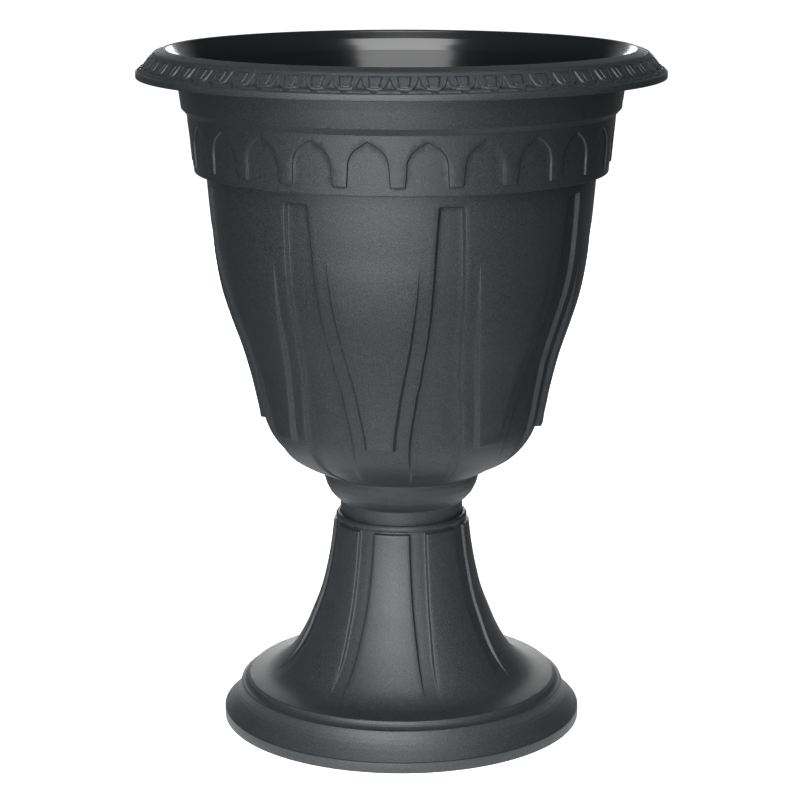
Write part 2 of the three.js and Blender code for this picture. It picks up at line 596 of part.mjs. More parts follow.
const urn = new THREE.Group();
urn.add(toMesh('pedestal', pedestalSolid(), moulded()));
urn.add(toMesh('bowl', bowlSolid(), moulded()));
urn.add(toMesh('drain_plug', plugSolid(), rubber));

export default urn;
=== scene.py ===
# %% [markdown]
# # A moulded urn planter
#
# The urn is two plastic mouldings, a fluted bowl and a hollow pedestal, with a rubber plug in the
# bowl's floor. Every ornament on it comes back at an even step round the axis: eight tongues and
# flutes, twenty-four arches, sixty cups and darts on the rim and eight panels on the foot. So each
# form is modelled once, as one sector, and Geometry Nodes set the copies round the axis.
#
# All sizes are in millimetres and turned into metres when a mesh is made. Angles round the axis
# are in degrees from the front, which is -Y.

# %% Frame
import math

import bpy
import bmesh
import numpy as np
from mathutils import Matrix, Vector
from mathutils.geometry import delaunay_2d_cdt


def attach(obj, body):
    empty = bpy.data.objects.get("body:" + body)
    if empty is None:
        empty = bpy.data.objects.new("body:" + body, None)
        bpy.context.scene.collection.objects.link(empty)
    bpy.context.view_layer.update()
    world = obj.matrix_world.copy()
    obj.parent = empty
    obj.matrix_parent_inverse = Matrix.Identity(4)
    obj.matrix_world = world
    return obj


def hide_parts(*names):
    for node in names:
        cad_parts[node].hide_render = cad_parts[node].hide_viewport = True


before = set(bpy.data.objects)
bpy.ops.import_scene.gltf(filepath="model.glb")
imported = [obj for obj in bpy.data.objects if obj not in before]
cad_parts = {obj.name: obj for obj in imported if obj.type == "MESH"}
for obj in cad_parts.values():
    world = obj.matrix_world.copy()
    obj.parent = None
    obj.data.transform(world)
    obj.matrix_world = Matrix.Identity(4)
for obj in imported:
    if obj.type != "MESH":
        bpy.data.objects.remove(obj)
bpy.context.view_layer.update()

MM = 0.001

# %% [markdown]
# ## The camera
#
# The rings of the urn are circles, so the ellipses that they make in the picture give the lens and
# the camera's height and tilt. It is a long lens, a little above the rim, turned 8.4 degrees to the
# right of the front. A small shift sets the axis a pixel and a half right of the middle.

# %% Camera
CAMERA_TURN = math.radians(8.4)
CAMERA_DISTANCE = 1.8563
CAMERA_HEIGHT = 0.6805
CAMERA_PITCH = math.radians(12.835)
LENS, SENSOR_WIDTH = 108.34, 36
PICTURE_PIXELS, AXIS_PIXELS_RIGHT = 800, 1.45
camera = bpy.data.objects.new("camera", bpy.data.cameras.new("camera"))
bpy.context.scene.collection.objects.link(camera)
camera.location = (CAMERA_DISTANCE * math.sin(CAMERA_TURN),
                   -CAMERA_DISTANCE * math.cos(CAMERA_TURN), CAMERA_HEIGHT)
camera.rotation_euler = (math.pi / 2 - CAMERA_PITCH, 0, CAMERA_TURN)
camera.data.lens = LENS
camera.data.sensor_width = SENSOR_WIDTH
camera.data.shift_x = -AXIS_PIXELS_RIGHT / PICTURE_PIXELS
bpy.context.scene.camera = camera
print("camera:", [round(x, 3) for x in camera.location], "lens", camera.data.lens)

# %% [markdown]
# ## Curves and walls
#
# Three small helpers draw every form. A smooth curve runs through a few measured points. A rounded
# line is a row of straight pieces with its corners turned over a small radius, as a mould has them.
# A ramp is the side wall of a raised or sunk panel: it leans by its draft, and both of its corners
# are rounded, so the light catches them as it does on moulded plastic.

# %% Smooth curves
def smooth_curve(points):
    """A smooth function through (x, y) pairs with rising x."""
    xs, ys = np.array(points, float).T
    slopes = np.gradient(ys, xs)

    def value(x):
        x = np.clip(x, xs[0], xs[-1])
        i = np.clip(np.searchsorted(xs, x) - 1, 0, len(xs) - 2)
        span = xs[i + 1] - xs[i]
        t = (x - xs[i]) / span
        start = ys[i] * (1 + 2 * t) + slopes[i] * span * t
        end = ys[i + 1] * (3 - 2 * t) - slopes[i + 1] * span * (1 - t)
        return start * (1 - t) ** 2 + end * t ** 2
    return value


half_way = smooth_curve([(0, 0), (1, 1), (2, 4)])(1.5)
print("a curve through 1 and 4 passes", round(float(half_way), 2), "between them")

# %% [markdown]
# A rounding may take less than half of each side of its corner, so two of them never meet, and a
# corner that would hardly be rounded is left as it is.

# %% Rounded lines
LONGEST_ROUNDING = 0.45
SHORTEST_ROUNDING = 0.02


def rounded(corners, radius, steps=3):
    """A line with its (x, y) corners rounded; a third number in a corner is its own radius."""
    line = [np.array(corners[0][:2], float)]
    for before, corner, after in zip(corners, corners[1:], corners[2:]):
        here = np.array(corner[:2], float)
        back = np.array(before[:2], float) - here
        ahead = np.array(after[:2], float) - here
        lengths = np.linalg.norm(back), np.linalg.norm(ahead)
        back, ahead = back / lengths[0], ahead / lengths[1]
        half_open = math.acos(np.clip(back @ ahead, -1, 1)) / 2
        own = corner[2] if len(corner) > 2 else radius
        reach = min(own / math.tan(half_open), min(lengths) * LONGEST_ROUNDING)
        if reach < SHORTEST_ROUNDING:
            line.append(here)
            continue
        for t in np.linspace(0, 1, steps + 1):
            line.append(here + reach * (back * (1 - t) ** 2 + ahead * t ** 2))
    line.append(np.array(corners[-1][:2], float))
    return np.array(line)


print("a rounded square corner:", rounded([(0, 0), (4, 0), (4, 4)], 1).round(2).tolist())

# %% [markdown]
# Both corners of a wall take their rounding from its own width, so on a narrow wall the rounding
# shrinks with it.

# %% Ramps
WIDEST_CORNER = 0.8


def ramp(distance, width, fillet):
    """Height share of a drafted wall that starts at 0 and is `width` wide, with rounded corners."""
    fillet = min(fillet, width * WIDEST_CORNER)

    def area(x):
        return np.where(x <= 0, 0, np.where(x >= width, x - width / 2, x * x / (2 * width)))
    return (area(distance + fillet / 2) - area(distance - fillet / 2)) / fillet


def wall_marks(width, fillet):
    """Where a wall needs edges, measured from its start: four over each rounded corner."""
    corner = min(fillet, width * WIDEST_CORNER) * np.array([-0.5, -0.17, 0.17, 0.5])
    return np.concatenate([corner, corner + width])


def fade(x, start, end):
    """0 before start, 1 after end, smooth between."""
    t = np.clip((x - start) / (end - start), 0, 1)
    return t * t * (3 - 2 * t)


print("ramp across a 2 mm wall:", ramp(np.linspace(-1, 3, 5), 2, 0.6).round(2))

# %% [markdown]
# ## Sectors as grids
#
# A sector is a grid: its rows follow the cross-section, down the outside and back up the inside, and
# its columns run round the axis. The rows close on themselves, so the copies of a sector make one
# closed shell with nothing open but the joints between them, which are merged.

# %% From grids to meshes
def at_angle(radius, degrees, height):
    """Points at a radius and a height, turned by degrees from the front."""
    turn = np.radians(degrees)
    points = np.broadcast_arrays(radius * np.sin(turn), -radius * np.cos(turn), height)
    return np.stack(points, axis=-1)


def grid_faces(rows, columns, closed=True):
    """Quads of a grid, facing out when its rows run down the outside."""
    row = np.arange(rows if closed else rows - 1)[:, None]
    column = np.arange(columns - 1)[None, :]
    here = row * columns + column
    below = ((row + 1) % rows) * columns + column
    return np.stack([here, below, below + 1, here + 1], axis=-1).reshape(-1, 4).tolist()


def new_mesh(name, points, faces):
    mesh = bpy.data.meshes.new(name)
    mesh.from_pydata((np.asarray(points).reshape(-1, 3) * MM).tolist(), [], faces)
    mesh.update()
    return mesh


def stacked(parts):
    """One list of points and faces from several."""
    points, faces = [], []
    for part_points, part_faces in parts:
        start = sum(len(p) for p in points)
        points.append(np.asarray(part_points).reshape(-1, 3))
        faces += [[start + i for i in face] for face in part_faces]
    return np.concatenate(points), faces


print("a grid of 3 rows and 3 columns has", len(grid_faces(3, 3)), "faces")

# %% [markdown]
# ## The tree that repeats a sector
#
# One Geometry Nodes tree does every repeat. It puts `Count` points on the axis, sets the sector on
# each with its own turn, makes the copies real, merges the edges where neighbours meet, and marks
# the edges that are sharper than `Sharp angle`, so that true corners stay crisp and fillets stay
# soft. A tree with named inputs serves all the ornaments, where an Array modifier would need an
# extra object for each.

# %% The repeat tree
MERGE_DISTANCE = 0.02 * MM
SHARP_ANGLE = 0.7


def repeat_tree():
    tree = bpy.data.node_groups.new("repeat_round_axis", "GeometryNodeTree")
    for name, kind, value in (("Sector", "Geometry", None), ("Count", "Int", 8),
                              ("Merge distance", "Float", MERGE_DISTANCE),
                              ("Sharp angle", "Float", SHARP_ANGLE), ("Material", "Material", None)):
        socket = tree.interface.new_socket(name, in_out="INPUT", socket_type="NodeSocket" + kind)
        if value is not None:
            socket.default_value = value
    tree.interface.new_socket("Ring", in_out="OUTPUT", socket_type="NodeSocketGeometry")
    add, link = tree.nodes.new, tree.links.new
    given, result = add("NodeGroupInput"), add("NodeGroupOutput")

    points = add("GeometryNodePoints")
    link(given.outputs["Count"], points.inputs["Count"])
    step = add("ShaderNodeMath")
    step.operation = "DIVIDE"
    step.inputs[0].default_value = math.tau
    link(given.outputs["Count"], step.inputs[1])
    turn = add("ShaderNodeMath")
    turn.operation = "MULTIPLY"
    link(add("GeometryNodeInputIndex").outputs[0], turn.inputs[0])
    link(step.outputs[0], turn.inputs[1])
    about_z = add("ShaderNodeCombineXYZ")
    link(turn.outputs[0], about_z.inputs["Z"])

    copies = add("GeometryNodeInstanceOnPoints")
    link(points.outputs[0], copies.inputs["Points"])
    link(given.outputs["Sector"], copies.inputs["Instance"])
    link(about_z.outputs[0], copies.inputs["Rotation"])
    real = add("GeometryNodeRealizeInstances")
    link(copies.outputs[0], real.inputs[0])
    merged = add("GeometryNodeMergeByDistance")
    link(real.outputs[0], merged.inputs["Geometry"])
    link(given.outputs["Merge distance"], merged.inputs["Distance"])

    smooth = add("GeometryNodeSetShadeSmooth")
    link(merged.outputs[0], smooth.inputs["Geometry"])
    bend = add("GeometryNodeInputMeshEdgeAngle")
    is_sharp = add("FunctionNodeCompare")
    link(bend.outputs["Unsigned Angle"], is_sharp.inputs["A"])
    link(given.outputs["Sharp angle"], is_sharp.inputs["B"])
    crisp = add("GeometryNodeSetShadeSmooth")
    crisp.domain = "EDGE"
    crisp.inputs["Shade Smooth"].default_value = False
    link(smooth.outputs[0], crisp.inputs["Geometry"])
    link(is_sharp.outputs[0], crisp.inputs["Selection"])
    finish = add("GeometryNodeSetMaterial")
    link(crisp.outputs[0], finish.inputs["Geometry"])
    link(given.outputs["Material"], finish.inputs["Material"])
    link(finish.outputs[0], result.inputs[0])
    return tree


repeat = repeat_tree()
repeat_inputs = {item.name: item.identifier for item in repeat.interface.items_tree
                 if item.in_out == "INPUT"}
print("repeat tree inputs:", list(repeat_inputs))

# %% [markdown]
# A ring is the sector's own object with that tree as its modifier. The evaluated result becomes a
# plain mesh, so the finished piece carries no modifier. Each ring prints its triangles, its open
# edges, which should be none, and the volume of its plastic.

# %% Making a ring
MILLILITRES = 1e6


def ring_mesh(name, points, faces, count, material):
    """The closed ring that `count` copies of a sector make, as a plain mesh."""
    sector = bpy.data.objects.new(name, new_mesh(name + "_sector", points, faces))
    bpy.context.scene.collection.objects.link(sector)
    modifier = sector.modifiers.new("repeat", "NODES")
    modifier.node_group = repeat
    modifier[repeat_inputs["Count"]] = count
    modifier[repeat_inputs["Material"]] = material
    evaluated = sector.evaluated_get(bpy.context.evaluated_depsgraph_get())
    mesh = bpy.data.meshes.new_from_object(evaluated)
    bpy.data.objects.remove(sector)
    mesh.name = name
    return mesh


def finished(name, meshes, material):
    """One object at the origin from one or more closed meshes, with its facts printed."""
    shell = bmesh.new()
    for mesh in meshes:
        shell.from_mesh(mesh)
    for face in shell.faces:
        face.material_index = 0
    joined = bpy.data.meshes.new(name)
    shell.to_mesh(joined)
    joined.materials.append(material)
    triangles = sum(len(face.verts) - 2 for face in shell.faces)
    open_edges = sum(not edge.is_contiguous for edge in shell.edges)
    volume = shell.calc_volume(signed=True) * MILLILITRES
    shell.free()
    piece = bpy.data.objects.new(name, joined)
    bpy.context.scene.collection.objects.link(piece)
    print(f"{name}: {triangles} triangles, {open_edges} open edges, {volume:.1f} ml of plastic")
    return piece

# %% [markdown]
# ## The plastic
#
# The mouldings are charcoal plastic. The tool was textured, so the outside has a fine satin grain
# that breaks up the light, while the inside was pulled off a polished core and is glossier. The
# grain is two scales of noise in the object's own coordinates, one for the texture of about a
# millimetre and one, finer, for the sparkle in it. The finer one also sets the colour, and so paints
# shade into the grain: nearly black in the pits of the bump and charcoal on the tips, which gives the
# salt and pepper look of textured plastic. A slow noise lets the roughness drift a little, as it does
# on real mouldings. A picture of the grain would do as well, but it would need a map of the surface,
# and noise in space needs none.

# %% Small helpers for materials


def noise(nodes, links, position, scale, detail):
    texture = nodes.new("ShaderNodeTexNoise")
    texture.inputs["Scale"].default_value = scale
    texture.inputs["Detail"].default_value = detail
    links.new(position, texture.inputs["Vector"])
    return texture.outputs["Fac"]


def ranged(nodes, links, value, low, high, from_low=0.0, from_high=1.0):
    """The value carried from one range to another."""
    mapped = nodes.new("ShaderNodeMapRange")
    for name, number in (("From Min", from_low), ("From Max", from_high),
                         ("To Min", low), ("To Max", high)):
        mapped.inputs[name].default_value = number
    links.new(value, mapped.inputs["Value"])
    return mapped.outputs[0]


def mixed(nodes, links, share, first, second):
    """A blend of two numbers; either may be a plain number or a socket."""
    blend = nodes.new("ShaderNodeMix")
    links.new(share, blend.inputs["Factor"])
    for slot, value in ((2, first), (3, second)):
        if isinstance(value, (int, float)):
            blend.inputs[slot].default_value = value
        else:
            links.new(value, blend.inputs[slot])
    return blend.outputs[0]


print("helpers for materials:", noise.__name__, ranged.__name__, mixed.__name__)

# %% [markdown]
# The inside is found from the surface itself: there the normal points towards the axis. So the two
# finishes need no seam in the mesh, and they meet where the lip rolls over.

# %% Inside and outside
FULLY_INSIDE, JUST_INSIDE = -0.45, -0.3


def facing_axis(nodes, links, position):
    """1 where the surface looks at the axis, 0 where it looks away from it."""
    flat = nodes.new("ShaderNodeVectorMath")
    flat.operation = "MULTIPLY"
    flat.inputs[1].default_value = (1, 1, 0)
    links.new(position, flat.inputs[0])
    outwards = nodes.new("ShaderNodeVectorMath")
    outwards.operation = "NORMALIZE"
    links.new(flat.outputs[0], outwards.inputs[0])
    against = nodes.new("ShaderNodeVectorMath")
    against.operation = "DOT_PRODUCT"
    links.new(nodes.new("ShaderNodeNewGeometry").outputs["Normal"], against.inputs[0])
    links.new(outwards.outputs[0], against.inputs[1])
    return ranged(nodes, links, against.outputs["Value"], 1, 0, FULLY_INSIDE, JUST_INSIDE)


print("a surface starts to be inside where its normal leans",
      round(math.degrees(math.asin(-JUST_INSIDE))), "degrees towards the axis")

# %% [markdown]
# The shader puts these together. Only what differs from place to place is linked. The index of
# refraction is the same all over, so it is set on its socket.

# %% Moulded plastic
PLASTIC_INDEX = 1.5
GRAIN_SCALE, SPARKLE_SCALE, DRIFT_SCALE = 950, 1650, 9
# The pit colour is painted shade in the pits of the grain; the tip colour is the charcoal itself.
PIT_SHADE_COLOUR, TIP_COLOUR = (0.0048, 0.0064, 0.0072, 1), (0.0305, 0.0355, 0.0400, 1)
PIT_NOISE, TIP_NOISE = 0.38, 0.7
INSIDE_TINT = 0.4
OUTSIDE_SPECULAR, INSIDE_SPECULAR = 0.5, 0.75
SATIN_LOW, SATIN_HIGH, SATIN_GRAIN = 0.49, 0.55, 0.03
INSIDE_ROUGHNESS = 0.17
GRAIN_HEIGHT, SPARKLE_SHARE = 0.16 * MM, 0.35
OUTSIDE_BUMP, INSIDE_BUMP = 0.8, 0.02


def moulded_plastic():
    material = bpy.data.materials.new("moulded_plastic")
    material.use_nodes = True
    nodes, links = material.node_tree.nodes, material.node_tree.links
    surface = nodes["Principled BSDF"]
    surface.inputs["IOR"].default_value = PLASTIC_INDEX
    position = nodes.new("ShaderNodeTexCoord").outputs["Object"]
    inside = facing_axis(nodes, links, position)
    specular = mixed(nodes, links, inside, OUTSIDE_SPECULAR, INSIDE_SPECULAR)
    links.new(specular, surface.inputs["Specular IOR Level"])
    grain = noise(nodes, links, position, GRAIN_SCALE, 2)
    sparkle = noise(nodes, links, position, SPARKLE_SCALE, 1)
    drift = noise(nodes, links, position, DRIFT_SCALE, 3)

    # Painted shade: the colour follows the finer noise that also sinks the bump, nearly black in its pits.
    tint = nodes.new("ShaderNodeValToRGB")
    pit, tip = tint.color_ramp.elements
    pit.position, tip.position = PIT_NOISE, TIP_NOISE
    pit.color, tip.color = PIT_SHADE_COLOUR, TIP_COLOUR
    links.new(mixed(nodes, links, inside, sparkle, INSIDE_TINT), tint.inputs["Fac"])
    links.new(tint.outputs["Color"], surface.inputs["Base Color"])

    satin = nodes.new("ShaderNodeMath")
    links.new(ranged(nodes, links, drift, SATIN_LOW, SATIN_HIGH), satin.inputs[0])
    links.new(ranged(nodes, links, grain, -SATIN_GRAIN, SATIN_GRAIN), satin.inputs[1])
    roughness = mixed(nodes, links, inside, satin.outputs[0], INSIDE_ROUGHNESS)
    links.new(roughness, surface.inputs["Roughness"])

    height = nodes.new("ShaderNodeMath")
    links.new(grain, height.inputs[0])
    links.new(ranged(nodes, links, sparkle, 0, SPARKLE_SHARE), height.inputs[1])
    bump = nodes.new("ShaderNodeBump")
    bump.inputs["Distance"].default_value = GRAIN_HEIGHT
    links.new(mixed(nodes, links, inside, OUTSIDE_BUMP, INSIDE_BUMP), bump.inputs["Strength"])
    links.new(height.outputs[0], bump.inputs["Height"])
    links.new(bump.outputs["Normal"], surface.inputs["Normal"])
    return material


plastic = moulded_plastic()
print("plastic:", len(plastic.node_tree.nodes), "nodes")

# %% [markdown]
# ## The bowl's body
#
# Under the bands the body bulges and then draws in to a collar. Eight tongues stand out of it: they
# grow out of the wall below the band, narrow as they go down and end in a square step. Between them
# run eight flutes, sunk into the wall: square at the top, widest where the bowl turns in, and fading
# into the collar. The two outlines answer each other, so a strip of even wall stays between them.
#
# A displaced plain grid would fray along those edges. Here the columns follow the edges instead: in
# each row they gather at the walls of the tongue and of the flute, wherever those walls are.

# %% Sizes of the body
WALL = 2.6
SECTORS = 8
BODY_TOP = 441.0
BODY_FOOT = 202.5
BODY_OUTLINE = [(202.5, 61.8), (206, 70.0), (210, 78.3), (214, 85.3), (218, 90.9), (224, 96.9),
                (231, 101.9), (240, 106.2), (250, 109.1), (255, 110.3), (275, 114.5), (300, 120.8),
                (325, 129.4), (350, 138.0), (375, 144.1), (400, 147.3), (441, 151.0)]
FLUTE_TOP = 432.5
FLUTE_DEPTH = [(202.5, 0.0), (208, 0.8), (213, 1.0), (218, 1.3), (222, 2.1), (226, 2.6), (240, 3.5),
               (260, 3.5), (441, 3.4)]
FLUTE_HALF_ANGLES = [(202.5, 8.2), (215, 9.2), (226, 10.3), (236, 10.8), (250, 10.5), (260, 10.0),
                     (268, 9.4), (277, 8.7), (287, 8.2), (297, 7.1), (308, 6.7), (314, 6.3),
                     (328, 5.6), (340, 5.2), (366, 4.7), (390, 4.3), (411, 3.9), (441, 3.1)]
TONGUE_FOOT = 243.6
TONGUE_RISE = [(202.5, 4.5), (246, 4.5), (250, 4.0), (260, 3.7), (300, 3.7), (310, 3.6), (330, 3.3),
               (340, 2.9), (350, 2.3), (360, 1.6), (370, 0.9), (380, 0.4), (388, 0.12), (393, 0.0),
               (395, 0.0), (441, 0.0)]
TONGUE_HALF_ANGLES = [(202.5, 5.0), (243, 5.6), (256, 6.1), (267, 6.9), (285, 8.1), (302, 9.5),
                      (323, 11.1), (345, 12.2), (367, 13.1), (390, 13.5), (441, 13.7)]
FILLET = 0.65
LEAST_SIDE_WALL, WALL_DRAFT = 0.4, 0.5
END_WALL = 1.5
ROW_STEP = 3.4
body_radius = smooth_curve(BODY_OUTLINE)
flute_depth = smooth_curve(FLUTE_DEPTH)
flute_half = smooth_curve(FLUTE_HALF_ANGLES)
tongue_rise = smooth_curve(TONGUE_RISE)
tongue_half = smooth_curve(TONGUE_HALF_ANGLES)
print("body radius at mid height:", round(float(body_radius(320.0)), 1), "mm")

# %% [markdown]
# The outline is walked by its own length, so the rows stay even where it turns under. Every row
# knows its place, and the direction straight out of the wall, along which the relief is raised.

# %% Rows along an outline
def walked(line):
    """Length along a line of points, and the direction straight out of it at each point."""
    line = np.asarray(line, float)
    length = np.concatenate([[0], np.cumsum(np.linalg.norm(np.diff(line, axis=0), axis=1))])
    along = np.gradient(line, length, axis=0)
    along /= np.linalg.norm(along, axis=1)[:, None]
    return length, np.stack([-along[:, 1], along[:, 0]], axis=1)


FINE_POINTS = 1500
SAME_PLACE = 0.12
CROWDED_SHARE = 0.3


def row_places(end, step, extra):
    """Even places from 0 to end and the extra ones; a crowded even place is left out."""
    places = np.sort(np.concatenate([np.arange(0, end, step), [end], np.asarray(extra)]))
    places = places[(places >= 0) & (places <= end)]
    kept = [0.0]
    fixed = set(np.asarray(extra).tolist())
    for place in places[1:]:
        crowded = place not in fixed and place - kept[-1] < step * CROWDED_SHARE
        near = place - kept[-1] < SAME_PLACE or crowded
        if not near or place == end:
            kept.append(float(place))
    return np.array(kept)


fine_z = np.linspace(BODY_TOP, BODY_FOOT, FINE_POINTS)
body_line = np.stack([body_radius(fine_z), fine_z], axis=1)
body_length, body_out = walked(body_line)
flute_start = np.interp(-FLUTE_TOP, -fine_z, body_length)
tongue_end = np.interp(-TONGUE_FOOT, -fine_z, body_length)
body_places = row_places(body_length[-1], ROW_STEP, np.concatenate([
    flute_start + wall_marks(END_WALL, FILLET), tongue_end + wall_marks(END_WALL, FILLET)]))
print("the outline is", round(float(body_length[-1]), 1), "mm long and takes", len(body_places), "rows")

# %% [markdown]
# One half of a sector goes from the middle of a tongue to the middle of a flute. Its columns are
# four on the tongue's face, a set over the tongue's wall, two on the strip between, a set over the
# flute's wall, and three on the flute's floor. The other half is its mirror image.

# %% Columns and relief of the body
TONGUE_SHARES = np.array([0, 0.25, 0.5, 0.75])
STRIP_SHARES = np.array([1 / 3, 2 / 3])
FLUTE_SHARES = np.array([0.4, 0.75, 1.0])


def body_half_row(radius, z):
    """Distances round the axis from the tongue's middle, of one row's columns, and its walls."""
    tongue_wide = LEAST_SIDE_WALL + WALL_DRAFT * float(tongue_rise(z))
    flute_wide = LEAST_SIDE_WALL + WALL_DRAFT * float(flute_depth(z))
    tongue_edge = math.radians(float(tongue_half(z))) * radius
    flute_edge = math.radians(180 / SECTORS - float(flute_half(z))) * radius
    tongue_wall = tongue_edge + tongue_wide / 2 - wall_marks(tongue_wide, FILLET)[::-1]
    flute_wall = flute_edge - flute_wide / 2 + wall_marks(flute_wide, FILLET)
    middle = math.radians(180 / SECTORS) * radius
    return np.concatenate([
        tongue_wall[0] * TONGUE_SHARES, tongue_wall,
        tongue_wall[-1] + (flute_wall[0] - tongue_wall[-1]) * STRIP_SHARES, flute_wall,
        flute_wall[-1] + (middle - flute_wall[-1]) * FLUTE_SHARES,
    ]), tongue_edge, tongue_wide, flute_edge, flute_wide


def mirrored(angles, height):
    """Half a row of angles and heights, made whole: its mirror image, and then itself."""
    return np.concatenate([-angles[:0:-1], angles]), np.concatenate([height[:0:-1], height])


def body_relief(place, radius, z):
    """Angles and heights of one row, across a whole sector."""
    across, tongue_edge, tongue_wide, flute_edge, flute_wide = body_half_row(radius, z)
    on_tongue = ramp(tongue_edge + tongue_wide / 2 - across, tongue_wide, FILLET)
    on_tongue = on_tongue * (1 - ramp(place - tongue_end, END_WALL, FILLET))
    in_flute = ramp(across - flute_edge + flute_wide / 2, flute_wide, FILLET)
    in_flute = in_flute * ramp(place - flute_start, END_WALL, FILLET)
    height = on_tongue * tongue_rise(z) - in_flute * flute_depth(z)
    return mirrored(np.degrees(across / radius), height)


def body_row(place, sunk=0.0):
    """One row of points across a sector, `sunk` below the outer face."""
    radius, z = (np.interp(place, body_length, body_line[:, i]) for i in (0, 1))
    out_r, out_z = (np.interp(place, body_length, body_out[:, i]) for i in (0, 1))
    angles, height = body_relief(place, radius, z)
    lift = height - sunk
    return at_angle(radius + lift * out_r, angles, z + lift * out_z)


outer_rows = [body_row(place) for place in body_places]
COLUMNS = len(outer_rows[0])
print("the body has", COLUMNS - 1, "columns in a sector and", len(outer_rows), "outer rows")

# %% [markdown]
# ## Collar, neck and floor
#
# Below the flutes the wall turns under into a rounded collar and a straight neck, which drops into
# the pedestal. Inside the pedestal a narrower spigot goes through a shelf, and three lugs on it turn
# under the shelf and hold. The floor has a drain hole with a shallow seat for the plug. These rows
# are plain: they have as many columns as the body's, evenly spread.

# %% The rest of the bowl's cross-section
NECK_RADIUS = 48.5
SPIGOT_RADIUS = 39.4
NECK_FOOT, SPIGOT_FOOT = 146.3, 136.3
DRAIN_RADIUS, SEAT_RADIUS, SEAT_SINK = 10.2, 15.5, 0.8
FLOOR_TOP = 207.0
collar = rounded([
    (62.6, 202.9), (61.9, 201.9, 0.8), (61.3, 198, 6), (59.5, 192, 10), (56.8, 186.5, 10), (53, 182, 8),
    (49.6, 179.4, 1.2), (NECK_RADIUS, 178.2, 1.0), (NECK_RADIUS, NECK_FOOT, 0.6),
    (SPIGOT_RADIUS, NECK_FOOT, 0.5), (SPIGOT_RADIUS, SPIGOT_FOOT, 0.6),
    (SPIGOT_RADIUS - WALL, SPIGOT_FOOT, 0.4), (SPIGOT_RADIUS - WALL, NECK_FOOT + WALL, 0.5),
    (NECK_RADIUS - WALL, NECK_FOOT + WALL, 0.5), (NECK_RADIUS - WALL, 178.6, 3), (58.6, 198.6, 3),
    (58.6, FLOOR_TOP - WALL, 1.5), (DRAIN_RADIUS, FLOOR_TOP - WALL, 0.3),
    (DRAIN_RADIUS, FLOOR_TOP - SEAT_SINK, 0.3), (SEAT_RADIUS, FLOOR_TOP - SEAT_SINK, 0.2),
    (SEAT_RADIUS, FLOOR_TOP, 0.3), (50, FLOOR_TOP, 0.3), (64.5, FLOOR_TOP + 0.3, 8),
], 0.5, 3)
spread = np.linspace(-180 / SECTORS, 180 / SECTORS, COLUMNS)
plain_rows = [at_angle(radius, spread, z) for radius, z in collar[1:]]
print("collar, neck and floor take", len(plain_rows), "rows")

# %% [markdown]
# The inner face follows the outer one a wall's thickness in. Going from evenly spread columns to
# bunched ones in one step would twist the quads, so its lowest row eases over. Its top row is set
# level with the body's top, to meet the band.

# %% The body as one closed sector
def eased(row, share):
    """A row with its columns moved part of the way to an even spread."""
    radius = np.hypot(row[:, 0], row[:, 1])
    angles = np.degrees(np.arctan2(row[:, 0], -row[:, 1]))
    even = spread + (angles - spread) * (1 - share)
    order = np.argsort(angles)
    return at_angle(np.interp(even, angles[order], radius[order]), even,
                    np.interp(even, angles[order], row[order, 2]))


INNER_FOOT, INNER_ROW_STEP = 213.0, 8.5
EASED_SHARE = 0.6
inner_places = row_places(np.interp(-INNER_FOOT, -fine_z, body_length), INNER_ROW_STEP, [
    flute_start, flute_start + END_WALL, tongue_end, tongue_end + END_WALL])
inner_rows = [body_row(place, WALL) for place in inner_places[::-1]]
inner_rows[0] = eased(inner_rows[0], EASED_SHARE)
inner_rows[-1][:, 2] = BODY_TOP
body_sector = np.stack([*outer_rows, *plain_rows, *inner_rows])
body_ring = ring_mesh("bowl_body", body_sector, grid_faces(*body_sector.shape[:2]), SECTORS, plastic)
print("body sector:", body_sector.shape[:2], "rows and columns")

# %% [markdown]
# ## Bent blocks
#
# The lugs, the stops that they turn against and the notched shelf are blocks bent round the axis.
# Each comes three times, so the same tree repeats them.

# %% Lugs on the spigot
LUGS = 3
LUG_RADIUS, LUG_HALF_ANGLE, LUG_ROOT = 43.0, 8.0, 1.3
LUG_FOOT, LUG_TOP = 138.7, 142.7


def bent_block(inner, outer, foot, top, start, end, steps=8):
    """A block between two radii, two heights and two angles, with closed ends."""
    angles = np.linspace(start, end, steps + 1)
    section = [(outer, top), (outer, foot), (inner, foot), (inner, top)]
    rows = np.stack([at_angle(radius, angles, z) for radius, z in section])
    columns = steps + 1
    ends = [[0, columns * 3, columns * 2, columns], [steps + columns * i for i in range(4)]]
    return rows.reshape(-1, 3), grid_faces(4, columns) + ends


lug_points, lug_faces = bent_block(SPIGOT_RADIUS - LUG_ROOT, LUG_RADIUS, LUG_FOOT, LUG_TOP,
                                   -LUG_HALF_ANGLE, LUG_HALF_ANGLE)
lugs = ring_mesh("lugs", lug_points, lug_faces, LUGS, plastic)
bowl_body = finished("bowl_body", [body_ring, lugs], plastic)

# %% [markdown]
# ## Triangulated ornaments
#
# The arches and the rim's cups and darts have outlines that no grid can follow. Their sector is
# drawn flat, as a patch. The outline is laid down several times, side by side, so that the wall gets
# its own edges, and a constrained Delaunay triangulation fills the rest. Then each point is raised
# by its distance to the outline, and the patch is bent round the axis.

# %% Flat patches
TINY_AREA = 1e-12
SAME_POINT = 1e-4


def side_by_side(line, distance):
    """The line moved to its left, with mitred corners."""
    line = np.asarray(line, float)
    along = np.diff(line, axis=0)
    along /= np.linalg.norm(along, axis=1)[:, None]
    left = np.stack([-along[:, 1], along[:, 0]], axis=1)
    before, after = np.vstack([left[:1], left]), np.vstack([left, left[-1:]])
    return line + distance * (before + after) / (1 + (before * after).sum(1))[:, None]


